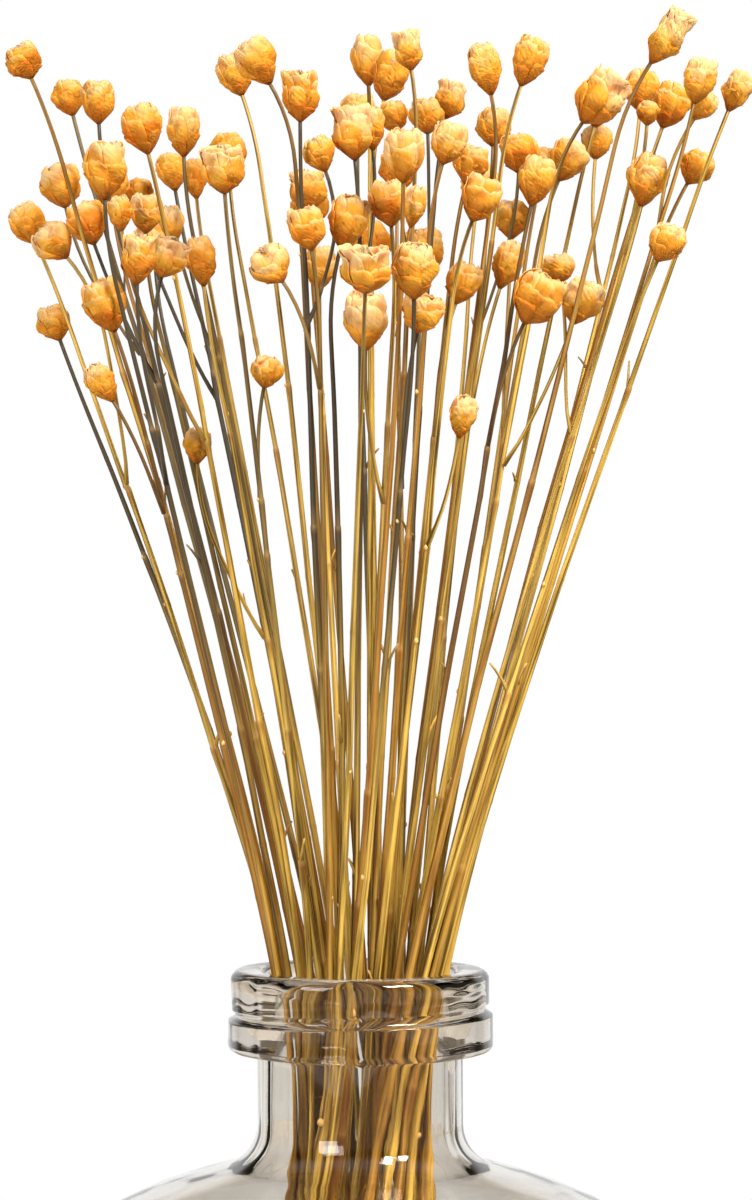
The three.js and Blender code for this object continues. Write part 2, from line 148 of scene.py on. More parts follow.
# The stems, each with its main head and, on most, a second head on a side twig. A head is [x, rise, width,
# length, lean, depth, form]: x and rise over the rim place its middle as an eye straight in front sees it.
# Lean is in degrees to the right. Depth is behind the vase's axis for a main head, and behind its own main
# stem for a second head.
STEMS = [
    [[-91, 246, 10, 10, -24, -12, ROUND]],
    [[-79, 236, 9, 10, -14, 12, EGG], [-81, 212, 10.5, 12, -12, 6, BARREL]],
    [[-71, 235, 9, 12, -2, -5, BARREL], [-74, 202, 10.5, 12, -20, 4, BARREL]],
    [[-59, 228, 10.5, 14, -14, -19, EGG], [-65, 205, 6.5, 10, -6, 6, EGG]],
    [[-48, 227, 8.5, 14, -2, -7, BARREL], [-51, 202, 6.5, 10, -14, 6, EGG]],
    [[-51, 216, 8, 11, -10, 23, EGG], [-60, 210, 7.5, 9, -8, 6, ROUND]],
    [[-45, 214, 6.5, 12, -6, 49, EGG]],
    [[-37, 217, 12.5, 13, -4, -38, CUP], [-25, 162, 8.5, 9, 12, 6, ROUND]],
    [[-69, 217, 11.5, 16, 0, -29, BARREL], [-60, 193, 10, 14, 2, -12, CUP]],
    [[-90, 202, 10, 12, -24, -4, EGG], [-83, 197, 11, 11, -42, -5, EGG]],
    [[-58, 205, 9, 11, 0, -3, BARREL]],
    [[-52, 193, 11.5, 11, 18, -22, CUP]],
    [[-43, 192, 8, 14, -6, -13, EGG], [-44, 142, 8, 10, 0, -8, EGG]],
    [[-69, 180, 11, 15, -20, -26, BARREL], [-70, 159, 7.5, 12, -32, -4, EGG]],
    [[-83, 175, 9, 10, -20, -8, ROUND]],
    [[-34, 242, 8.5, 12, -20, 21, BARREL]],
    [[-28, 246, 11, 14, -32, -13, EGG]],
    [[-16, 237, 10.5, 14, 0, -27, CUP], [-11, 221, 8.5, 10, -22, 6, EGG]],
    [[-14, 211, 10.5, 11, -6, 0, CUP], [-11, 190, 9, 12, 0, 4, BARREL]],
    [[-14, 201, 10, 12, -10, -39, BARREL], [-24, 191, 11.5, 11, -36, -4, EGG]],
    [[-3, 203, 10.5, 15, 16, -52, BARREL]],
    [[2, 246, 9, 14, -2, 19, BARREL], [8, 242, 10, 14, 14, -6, BARREL]],
    [[13, 249, 8, 11, -10, 9, CUP], [9, 231, 8, 9, -4, 7, ROUND]],
    [[-2, 227, 11.5, 15, -6, -39, CUP], [3, 228, 7.5, 12, -6, 6, BARREL]],
    [[12, 221, 10.5, 15, 0, -42, BARREL], [15, 207, 6, 12, 10, 6, EGG]],
    [[8, 208, 11.5, 13, -6, -49, EGG], [2, 176, 11.5, 16, 2, -6, BARREL]],
    [[24, 235, 8.5, 10, 12, 39, CUP], [18, 231, 9, 10, -2, -5, ROUND]],
    [[24, 224, 9.5, 12, 16, -25, BARREL]],
    [[2, 190, 13.5, 13, 2, -68, CUP]],
    [[15, 190, 12.5, 16, 0, -56, ROUND], [17, 178, 11.5, 11, 14, 7, BARREL]],
    [[34, 244, 9, 15, -12, 0, EGG]],
    [[46, 246, 9, 14, 20, -8, BARREL], [40, 191, 8, 14, 18, 5, EGG]],
    [[36, 228, 9, 11, 2, 40, ROUND], [43, 221, 10.5, 11, 2, -5, ROUND]],
    [[30, 218, 9, 11, 14, -12, EGG], [28, 186, 9, 12, 20, -5, BARREL]],
    [[33, 209, 10.5, 13, 22, -37, BARREL], [28, 150, 7.5, 12, 10, -6, EGG]],
    [[48, 214, 10, 14, 12, -20, EGG], [48, 182, 13.5, 15, 26, -9, BARREL]],
    [[56, 219, 10.5, 12, 24, 25, EGG], [41, 203, 9, 11, 2, 8, ROUND]],
    [[65, 236, 13.5, 16, 36, -19, CUP], [60, 181, 10.5, 13, 20, -7, BARREL]],
    [[84, 253, 9, 17, 34, -34, CUP]],
    [[76, 238, 10, 12, 4, 42, EGG], [64, 224, 8, 10, 6, 2, ROUND]],
    [[84, 234, 10, 13, 20, 26, BARREL], [78, 232, 6, 7, 4, -9, ROUND]],
    [[92, 241, 8.5, 13, 12, -16, BARREL], [93, 234, 7, 9, 34, 9, EGG]],
    [[102, 238, 7.5, 12, 22, 0, EGG]],
    [[78, 214, 10.5, 15, 14, 4, EGG], [54, 190, 9, 8, -8, 6, ROUND]],
    [[91, 217, 9, 10, 30, 14, EGG]],
    [[83, 197, 10, 11, 24, -28, EGG]],
    [[-68, 212, 10, 13, -8, 36, EGG]],
    [[-56, 196, 10, 13, -4, 46, BARREL]],
    [[-36, 220, 10, 13, -4, 62, EGG]],
    [[-14, 206, 10, 12, -2, 66, EGG]],
    [[-1, 230, 10, 13, 0, 72, BARREL]],
    [[3, 196, 11, 13, 0, 60, EGG]],
    [[10, 216, 10, 13, 2, 78, ROUND]],
    [[17, 194, 11, 13, 4, 50, BARREL]],
    [[32, 212, 10, 13, 8, 70, EGG]],
    [[49, 216, 10, 13, 12, 60, BARREL]],
    [[65, 234, 10, 13, 16, 46, EGG]],
    [[77, 214, 10, 12, 18, 24, EGG]],
]


@dataclass(frozen=True)
class Bundle:
    """How the stems run together: through a waist in the vase's neck, spreading and turning beyond it."""

    rim: float = 190.0
    floor: float = 9.0
    stand_off: float = 0.3
    waist_drop: float = 40.0
    waist_radius: float = 18.7
    spread: float = 0.0185
    twist: float = 0.5
    eye_distance: float = 1040.0
    eye_over_rim: float = 100.0
    foot_radius: float = 1.42
    tip_radius: float = 0.58
    taper: float = 1.5
    neck_length: float = 11.0
    stem_bends: tuple[float, ...] = (-95.0, -45.0, -12.0, 15.0, 65.0)
    twig_bends: tuple[float, ...] = (0.0, 0.4, 1.0)
    neck_room: float = 0.2
    base_room: float = 0.9
    head_balls: tuple[tuple[float, float], ...] = ((0.3, 0.5), (0.55, 0.54), (0.82, 0.5))

    @property
    def waist(self) -> float:
        """Height of the waist."""
        return self.rim - self.waist_drop

    @property
    def eye_height(self) -> float:
        """Height of the eye that the heads are placed for."""
        return self.rim + self.eye_over_rim

    @property
    def bottom(self) -> float:
        """Height of the stems' feet."""
        return self.floor + self.stand_off

    def spread_at(self, z: np.ndarray) -> np.ndarray:
        """How many times wider than its waist the bundle is at a height."""
        return np.hypot(1, self.spread * (z - self.waist))

    def turn_at(self, z: np.ndarray) -> np.ndarray:
        """How far the bundle has turned at a height, in radians."""
        return self.twist * np.arctan(self.spread * (z - self.waist))


BUNDLE = Bundle()


def turned(place: np.ndarray, angle: np.ndarray, scale: np.ndarray) -> np.ndarray:
    """Turns a place round the vase's axis and scales it.

    Args:
        place: x and y.
        angle: One angle or one for each height, in radians.
        scale: One factor or one for each height.

    Returns:
        x and y, in the last dimension.
    """
    cos = np.cos(angle) * scale
    sin = np.sin(angle) * scale
    return np.stack([place[0] * cos - place[1] * sin, place[0] * sin + place[1] * cos], axis=-1)


@dataclass
class Head:
    """A placed head: its axis, its base, the neck where its stem straightens, and its size."""

    row: Sequence
    depth: float
    axis: np.ndarray = field(init=False)
    base: np.ndarray = field(init=False)
    neck: np.ndarray = field(init=False)
    width: float = field(init=False)
    length: float = field(init=False)
    form: Form = field(init=False)

    def __post_init__(self) -> None:
        """Finds the head's place from how an eye straight in front sees it."""
        x, rise, width, length, lean, _, self.form = self.row
        nearness = 1 + self.depth / BUNDLE.eye_distance
        height = BUNDLE.eye_height + (BUNDLE.rim + rise - BUNDLE.eye_height) * nearness
        middle = np.array([x * nearness, self.depth, height])
        tilt = math.radians(lean)
        outward = self.depth / (height - BUNDLE.waist)
        self.axis = unit(np.array([math.sin(tilt), outward, math.cos(tilt)]))
        self.base = middle - self.axis * length / 2
        self.neck = self.base - self.axis * BUNDLE.neck_length
        self.width = width * nearness
        self.length = length * nearness

    def balls(self) -> np.ndarray:
        """Gives the balls that stand for the head and its neck when room is measured.

        Returns:
            x, y, z and radius of each ball.
        """
        places = [
            (-BUNDLE.neck_length / 2, BUNDLE.tip_radius + BUNDLE.neck_room),
            (0.0, BUNDLE.tip_radius + BUNDLE.base_room),
            *((rise * self.length, radius * self.width) for rise, radius in BUNDLE.head_balls),
        ]
        return np.array([[*(self.base + self.axis * along), radius] for along, radius in places])


@dataclass
class Shoot:
    """A woody shoot that ends in the neck below a head."""

    stem: int
    head: Head
    bottom: float = field(init=False)
    bends: np.ndarray = field(init=False)

    def share_at(self, z: np.ndarray) -> np.ndarray:
        """How far up the shoot a height is, from 0 at its bottom to 1 at its neck."""
        return np.clip((z - self.bottom) / (self.head.neck[2] - self.bottom), 0, 1)

    def place_at(self, z: np.ndarray) -> np.ndarray:
        """Gives x and y of the shoot at a height."""
        raise NotImplementedError

    def radius_at(self, z: np.ndarray) -> np.ndarray:
        """Gives the shoot's radius at a height."""
        raise NotImplementedError

    def between_bends(self, z: np.ndarray) -> np.ndarray:
        """Gives x and y where the frame's solid of the shoot runs, straight between its bends."""
        places = self.place_at(self.bends)
        return np.column_stack([np.interp(z, self.bends, places[:, i]) for i in (0, 1)])


@dataclass
class MainShoot(Shoot):
    """A main stem, from its foot in the vase to its head."""

    bow_size: float
    bow_angle: float

    def __post_init__(self) -> None:
        """Finds the spot where the stem passes the waist, and the slight bow that brings it to its neck."""
        neck = self.head.neck
        spread = BUNDLE.spread_at(neck[2])
        turn = BUNDLE.turn_at(neck[2])
        aim = neck[:2] - self.bow_size * np.array([math.cos(self.bow_angle), math.sin(self.bow_angle)])
        spot = turned(aim, -turn, 1 / spread)
        self.bottom = BUNDLE.bottom
        self.spot = spot * min(1.0, BUNDLE.waist_radius / math.hypot(*spot))
        self.bow = neck[:2] - turned(self.spot, turn, spread)
        self.bends = np.array([self.bottom, *(BUNDLE.rim + rise for rise in BUNDLE.stem_bends), neck[2]])

    def place_at(self, z: np.ndarray) -> np.ndarray:
        """Gives x and y of the stem at a height."""
        bend = np.maximum(0, (z - BUNDLE.waist) / (self.head.neck[2] - BUNDLE.waist)) ** 2
        return turned(self.spot, BUNDLE.turn_at(z), BUNDLE.spread_at(z)) + self.bow * bend[..., None]

    def radius_at(self, z: np.ndarray) -> np.ndarray:
        """Gives the stem's radius at a height."""
        growth = BUNDLE.tip_radius - BUNDLE.foot_radius
        return BUNDLE.foot_radius + growth * self.share_at(z) ** BUNDLE.taper


@dataclass
class Twig(Shoot):
    """A side twig, which leaves its main stem below its own head and draws away from it as it rises."""

    main: MainShoot
    play: float
    drops: tuple[float, float] = (18.0, 64.0)
    drop_per_reach: float = 3.0
    curve: float = 0.75
    root_share: float = 0.72
    tip_radius: float = 0.54

    def __post_init__(self) -> None:
        """Finds where the twig leaves its main stem."""
        neck = self.head.neck
        self.reach = neck[:2] - self.main.place_at(neck[2])
        longest = self.drop_per_reach * math.hypot(*self.reach) * self.play
        self.bottom = neck[2] - min(self.drops[1], max(self.drops[0], longest))
        self.root_radius = self.root_share * float(self.main.radius_at(self.bottom))
        self.bends = self.bottom + np.array(BUNDLE.twig_bends) * (neck[2] - self.bottom)

    def place_at(self, z: np.ndarray) -> np.ndarray:
        """Gives x and y of the twig at a height."""
        return self.main.place_at(z) + self.reach * (self.share_at(z) ** self.curve)[..., None]

    def radius_at(self, z: np.ndarray) -> np.ndarray:
        """Gives the twig's radius at a height."""
        return self.root_radius + (self.tip_radius - self.root_radius) * self.share_at(z)


@dataclass
class Layout:
    """Lays the bouquet: each shoot in turn keeps the one of its seeded tries with the most room round it."""

    seed: int = LAYOUT_SEED
    tries: int = 200
    depth_play: float = 15.0
    twig_depth_play: float = 5.0
    twig_drop_play: float = 0.2
    bow: float = 6.0
    enough_room: float = 2.5
    level_step: float = 12.0
    levels: int = 40

    def __post_init__(self) -> None:
        """Starts with an empty vase."""
        self.draws = Draws(self.seed)
        self.heights = BUNDLE.floor + self.level_step * np.arange(self.levels)
        self.placed: list[Shoot] = []
        self.tracks: list[np.ndarray] = []
        self.balls: list[np.ndarray] = []

    def track(self, shoot: Shoot) -> np.ndarray:
        """Gives x, y and radius of a shoot at the fixed levels.

        Args:
            shoot: The shoot.

        Returns:
            One row for each level, without a number beyond the shoot's two ends.
        """
        within = (self.heights > shoot.bottom) & (self.heights < shoot.head.neck[2])
        rows = np.column_stack([shoot.between_bends(self.heights), shoot.radius_at(self.heights)])
        return np.where(within[:, None], rows, np.nan)

    def between_levels(self, tracks: np.ndarray, z: np.ndarray) -> np.ndarray:
        """Reads tracks at heights between two levels.

        Args:
            tracks: One track in each row.
            z: Heights, in an array of any shape.

        Returns:
            x, y and radius in the last dimension, after the tracks' and then the heights' own dimensions.
        """
        step = (z - BUNDLE.floor) / self.level_step
        index = np.floor(step).astype(int)
        low = tracks[:, index]
        return low + (tracks[:, index + 1] - low) * (step - index)[..., None]

    def gaps_beside(self, tracks: np.ndarray, balls: np.ndarray) -> np.ndarray:
        """Measures the gap between each track and each ball at the ball's own height.

        Args:
            tracks: One track in each row.
            balls: Balls, in an array of any shape.

        Returns:
            The gap from each track to each ball.
        """
        beside = self.between_levels(tracks, balls[..., 2])
        gaps = np.hypot(balls[..., 0] - beside[..., 0], balls[..., 1] - beside[..., 1])
        return gaps - beside[..., 2] - balls[..., 3]

    def rooms(self, tracks: np.ndarray, balls: np.ndarray, stem: int) -> np.ndarray:
        """Measures the least room round each try.

        Args:
            tracks: The tries' tracks.
            balls: The tries' balls.
            stem: The number of the stem that the tries are for.

        Returns:
            The least room of each try, at most what counts as enough.
        """
        others = np.array(self.tracks)
        other_balls = np.array(self.balls)
        strangers = others[[shoot.stem != stem for shoot in self.placed]]
        least = np.full(len(tracks), self.enough_room)
        if len(strangers):
            step = tracks[:, None] - strangers[None]
            radii = tracks[:, None, :, 2] + strangers[None, :, :, 2]
            gaps = np.hypot(step[..., 0], step[..., 1]) - radii
            least = np.fmin(least, np.fmin.reduce(gaps, axis=(1, 2)))
        if not self.placed:
            return least
        least = np.fmin(least, np.fmin.reduce(self.gaps_beside(others, balls), axis=(0, 2)))
        least = np.fmin(least, np.fmin.reduce(self.gaps_beside(tracks, other_balls), axis=(1, 2)))
        step = balls[:, None, :, None, :3] - other_balls[None, :, None, :, :3]
        radii = balls[:, None, :, None, 3] + other_balls[None, :, None, :, 3]
        gaps = np.linalg.norm(step, axis=-1) - radii
        return np.fmin(least, gaps.min(axis=(1, 2, 3)))

    def keep_clearest(self, shoots: list[Shoot]) -> Shoot:
        """Places the try that has the most room, the first of them where several have enough.

        Args:
            shoots: The tries.

        Returns:
            The one that is placed.
        """
        tracks = np.array([self.track(shoot) for shoot in shoots])
        balls = np.array([shoot.head.balls() for shoot in shoots])
        best = int(np.argmax(self.rooms(tracks, balls, shoots[0].stem)))
        self.placed.append(shoots[best])
        self.tracks.append(tracks[best])
        self.balls.append(balls[best])
        return shoots[best]

    def try_main(self, stem: int, row: Sequence) -> MainShoot:
        """Draws one try for a main stem.

        Args:
            stem: The stem's number.
            row: Its main head in the list.

        Returns:
            The try.
        """
        head = Head(row, row[5] + self.draws.either_way(self.depth_play))
        bow_size = self.bow * math.sqrt(self.draws.share())
        return MainShoot(stem, head, bow_size, FULL_TURN * self.draws.share())

    def try_twig(self, stem: int, row: Sequence, main: MainShoot) -> Twig:
        """Draws one try for a side twig.

        Args:
            stem: The stem's number.
            row: Its second head in the list.
            main: Its main stem.

        Returns:
            The try.
        """
        offset = row[5] + self.draws.either_way(self.twig_depth_play)
        head = Head(row, main.place_at(np.float64(BUNDLE.rim + row[1]))[1] + offset)
        return Twig(stem, head, main, 1 + self.draws.either_way(self.twig_drop_play))

    def lay(self) -> list[list[Shoot]]:
        """Lays all the stems, and then their twigs.

        Returns:
            The shoots of each stem: its main one and, on most, its twig.
        """
        mains = [
            self.keep_clearest([self.try_main(stem, rows[0]) for _ in range(self.tries)])
            for stem, rows in enumerate(STEMS)
        ]
        stems = []
        for stem, (main, rows) in enumerate(zip(mains, STEMS)):
            twigs = [
                self.keep_clearest([self.try_twig(stem, row, main) for _ in range(self.tries)])
                for row in rows[1:]
            ]
            stems.append([main, *twigs])
        return stems


# Meshes


@dataclass
class MeshParts:
    """Gathers patches of one mesh, with two notes on each point that the finishes read.

    The shade is three shares from 0 to 1, whose meaning is the finish's own. The grain is a place on the
    surface in millimetres, across and along it, and a number that sets neighbours apart.
    """

    points: list[np.ndarray] = field(default_factory=list)
    shades: list[np.ndarray] = field(default_factory=list)
    grains: list[np.ndarray] = field(default_factory=list)
    faces: list[list[int]] = field(default_factory=list)
    slots: list[int] = field(default_factory=list)
    count: int = 0

    def add(
        self, points: np.ndarray, faces: Sequence, slot: int, shade: np.ndarray, grain: np.ndarray
    ) -> None:
        """Adds a patch.

        Args:
            points: The places of its points.
            faces: The points of each face, counted from the patch's first.
            slot: The number of its finish.
            shade: The first note on each point.
            grain: The second note on each point.
        """
        self.points.append(points.reshape(-1, 3))
        self.shades.append(shade.reshape(-1, 3))
        self.grains.append(grain.reshape(-1, 3))
        self.faces.extend([corner + self.count for corner in face] for face in faces)
        self.slots.extend([slot] * len(faces))
        self.count += len(self.points[-1])

    def make(self, name: str, materials: Sequence[bpy.types.Material]) -> bpy.types.Object:
        """Makes the object.

        Args:
            name: The name of the piece.
            materials: Its materials, in the order of their numbers.

        Returns:
            The object, linked to the scene.
        """
        mesh = bpy.data.meshes.new(name)
        mesh.from_pydata((np.vstack(self.points) * METRE).tolist(), [], self.faces)
        for material in materials:
            mesh.materials.append(material)
        mesh.polygons.foreach_set("material_index", self.slots)
        mesh.polygons.foreach_set("use_smooth", [True] * len(self.faces))
        for note, rows in (("shade", self.shades), ("grain", self.grains)):
            layer = mesh.attributes.new(note, "FLOAT_VECTOR", "POINT")
            layer.data.foreach_set("vector", np.vstack(rows).astype(np.float32).ravel())
        mesh.update()
        piece = bpy.data.objects.new(name, mesh)
        bpy.context.scene.collection.objects.link(piece)
        return piece


@cache
def sheet_faces(rows: int, columns: int) -> tuple[tuple[int, ...], ...]:
    """Gives the faces of a thin closed sheet, whose points are its outer face's rows, then its inner one's.

    Args:
        rows: Points along the sheet.
        columns: Points across it.

    Returns:
        The corners of each face.
    """
    back = rows * columns
    faces = []
    for i in range(rows - 1):
        for j in range(columns - 1):
            a = i * columns + j
            b = a + columns
            faces.append((a, a + 1, b + 1, b))
            faces.append((back + a, back + b, back + b + 1, back + a + 1))
    bottom = list(range(columns))
    right = [(i + 1) * columns - 1 for i in range(1, rows)]
    top = [(rows - 1) * columns + j for j in range(columns - 2, -1, -1)]
    left = [i * columns for i in range(rows - 2, 0, -1)]
    rim = bottom + right + top + left
    for one, other in zip(rim, [*rim[1:], rim[0]]):
        faces.append((other, one, back + one, back + other))
    return tuple(faces)


@cache
def tube_faces(rings: int, sides: int) -> tuple[tuple[int, ...], ...]:
    """Gives the faces of a closed tube of rings, whose last two points are the middles of its ends.

    Args:
        rings: How many rings it has.
        sides: How many points a ring has.

    Returns:
        The corners of each face.
    """
    faces = []
    start, end = rings * sides, rings * sides + 1
    last = (rings - 1) * sides
    for j in range(sides):
        k = (j + 1) % sides
        faces.extend((low + j, low + k, low + sides + k, low + sides + j) for low in range(0, last, sides))
        faces.append((start, k, j))
        faces.append((end, last + j, last + k))
    return tuple(faces)


def frames_along(tangents: np.ndarray) -> tuple[np.ndarray, np.ndarray]:
    """Gives two directions square to each tangent and to each other."""
    side = unit(np.array([1.0, 0.0, 0.0]) - tangents * tangents[..., :1])
    return side, np.cross(tangents, side)


@dataclass
class Tube:
    """A closed tube along a line, with a radius and a shade at each of its points."""

    line: np.ndarray
    radii: np.ndarray
    shades: np.ndarray
    sides: int
    rib: float = 0.0
    spin: float = 0.0
    mark: float = 0.0

    def add_to(self, parts: MeshParts, slot: int) -> None:
        """Adds the tube to a mesh.

        Args:
            parts: The mesh.
            slot: The number of its finish.
        """
        tangents = unit(np.gradient(self.line, axis=0))
        side, front = frames_along(tangents)
        angles = self.spin + FULL_TURN * np.arange(self.sides) / self.sides
        ribs = 1 + self.rib * np.where(np.arange(self.sides) % 2, -1, 1)
        radii = self.radii[:, None] * ribs
        spokes = side[:, None] * np.cos(angles)[:, None] + front[:, None] * np.sin(angles)[:, None]
        rings = self.line[:, None] + spokes * radii[..., None]
        points = np.vstack([rings.reshape(-1, 3), self.line[0], self.line[-1]])
        along = np.concatenate([[0], np.cumsum(np.linalg.norm(np.diff(self.line, axis=0), axis=1))])
        round_it = radii.mean() * np.sin(angles) * 2
        grain = np.stack(np.broadcast_arrays(round_it, along[:, None], self.mark + np.cos(angles)), axis=-1)
        ends = np.array([[0, along[0], self.mark], [0, along[-1], self.mark]])
        grain = np.vstack([grain.reshape(-1, 3), ends])
        shades = np.vstack([np.repeat(self.shades, self.sides, axis=0), self.shades[[0, -1]]])
        parts.add(points, tube_faces(len(self.line), self.sides), slot, shades, grain)


# Heads


@dataclass(frozen=True)
class BractLayer:
    """One whorl of bracts on a head.

    The reach is the share of the outline that it covers, and the play scales it for each bract. The inset and
    the lift of the tips are shares of half the head's width. The closing is how far the tips draw in over the
    mouth, and the overlap is the bracts' width over their even share of the round.
    """

    count: int
    reach: float
    inset: float
    overlap: float
    lift: float = 0.0
    closing: float = 0.0
    turn: float = 0.0
    play: tuple[float, float] = (0.93, 1.04)
    rows: int = 13
    columns: int = 7


@dataclass(frozen=True)
class HeadShape:
    """Outline of a head in shares of half its width and of its length, its whorls, and its mouth's height."""

    outline: tuple[tuple[float, float], ...]
    layers: tuple[BractLayer, ...]
    mouth: float


def whorls(reach: float, closing: float, mouth_closing: float = 0.97) -> tuple[BractLayer, ...]:
    """Gives a head's whorls of bracts from the outside in.

    Args:
        reach: How far up the outline the tips of the main whorl come.
        closing: How far the inner whorl closes over the mouth.
        mouth_closing: How far the innermost bracts close over it.

    Returns:
        The whorls.
    """
    return (
        BractLayer(5, 0.46, -0.015, 1.3, lift=0.015, turn=0.5, play=(0.55, 1.12), rows=7, columns=6),
        BractLayer(6, 0.8 * reach, 0.01, 1.5, lift=0.012, play=(0.8, 1.08), rows=11),
        BractLayer(6, reach, 0.045, 1.5, lift=0.012, closing=0.3 * closing, turn=0.5),
        BractLayer(6, 1.0, 0.09, 1.5, closing=closing, rows=12),
        BractLayer(5, 1.0, 0.15, 1.6, closing=mouth_closing, turn=0.5, rows=9),
    )


SHAPES = {
    ROUND: HeadShape(
        outline=(
            (0.13, 0.0), (0.26, 0.05), (0.46, 0.13), (0.73, 0.26), (0.93, 0.4), (1.01, 0.54),
            (0.97, 0.7), (0.84, 0.84), (0.6, 0.95), (0.32, 1.0),
        ),
        layers=whorls(0.9, 0.2),
        mouth=0.9,
    ),
    EGG: HeadShape(
        outline=(
            (0.13, 0.0), (0.25, 0.05), (0.43, 0.13), (0.67, 0.25), (0.89, 0.38), (1.01, 0.53),
            (0.99, 0.68), (0.9, 0.82), (0.73, 0.93), (0.48, 1.0),
        ),
        layers=whorls(0.94, 0.25),
        mouth=0.88,
    ),
    BARREL: HeadShape(
        outline=(
            (0.13, 0.0), (0.26, 0.05), (0.44, 0.12), (0.68, 0.23), (0.89, 0.36), (1.0, 0.51),
            (1.01, 0.67), (0.97, 0.83), (0.88, 0.94), (0.68, 1.0),
        ),
        layers=whorls(0.96, 0.25),
        mouth=0.86,
    ),
    CUP: HeadShape(
        outline=(
            (0.13, 0.0), (0.26, 0.05), (0.44, 0.12), (0.68, 0.23), (0.87, 0.35), (0.92, 0.49),
            (0.87, 0.62), (0.88, 0.75), (0.97, 0.88), (1.07, 0.98),
        ),
        layers=whorls(0.98, 0.12, 0.85),
        mouth=0.76,
    ),
}


class Outline:
    """Side outline of a head from its base to its mouth, measured along its own length."""

    STEPS = 6

    def __init__(self, shape: HeadShape, half_width: float, length: float) -> None:
        """Draws the outline at a head's size.

        Args:
            shape: The head's shape.
            half_width: Half its width.
            length: Its length.
        """
        self.line = smooth_line(np.array(shape.outline) * [half_width, length], self.STEPS)
        steps = np.linalg.norm(np.diff(self.line, axis=0), axis=1)
        self.marks = np.concatenate([[0], np.cumsum(steps)])
        self.length = self.marks[-1]
        tangents = unit(np.gradient(self.line, axis=0))
        self.outward = np.column_stack([tangents[:, 1], -tangents[:, 0]])

    def at(self, share: np.ndarray) -> tuple[np.ndarray, np.ndarray]:
        """Reads the outline at shares of its length.

        Args:
            share: From 0 at the base to 1 at the mouth.

        Returns:
            Radius and height, and the outward direction, each in the last dimension.
        """
        mark = np.clip(share, 0, 1) * self.length
        place = np.stack([np.interp(mark, self.marks, self.line[:, i]) for i in (0, 1)], axis=-1)
        outward = np.stack([np.interp(mark, self.marks, self.outward[:, i]) for i in (0, 1)], axis=-1)
        return place, unit(outward)


@dataclass
class Folds:
    """Sharp folds that paper dries into: sets of parallel ridges, each with its own heading."""

    draws: Draws
    slope: float
    sets: int
    spacing: tuple[float, float]
    radius: float | None = None
    heading_play: float = 1.2

    def __post_init__(self) -> None:
        """Draws each set's waves: across, along and phase, in radians a millimetre, and their depth.

        Where the folds go round a surface with a radius, a whole number of them fits.
        """
        self.waves = []
        for _ in range(self.sets):
            pitch = math.pi / self.draws.within(*self.spacing)
            heading = self.draws.within(-self.heading_play, self.heading_play)
            across = pitch * math.cos(heading)
            along = pitch * math.sin(heading)
            if self.radius:
                across = max(1, round(2 * across * self.radius)) / (2 * self.radius)
            depth = self.slope / math.hypot(across, along)
            self.waves.append((across, along, self.draws.within(0, math.pi), depth))

    def at(self, across: np.ndarray, along: np.ndarray) -> np.ndarray:
        """Gives how far the surface stands out, about zero on average.

        Args:
            across: Places across the surface, in millimetres.
            along: Places along it.

        Returns:
            How far it stands out, in millimetres.
        """
        stand = np.zeros(np.broadcast(across, along).shape)
        for wave_across, wave_along, phase, depth in self.waves:
            ridge = np.abs(np.sin(wave_across * across + wave_along * along + phase))
            stand += depth * (ridge - 2 / math.pi)
        return stand


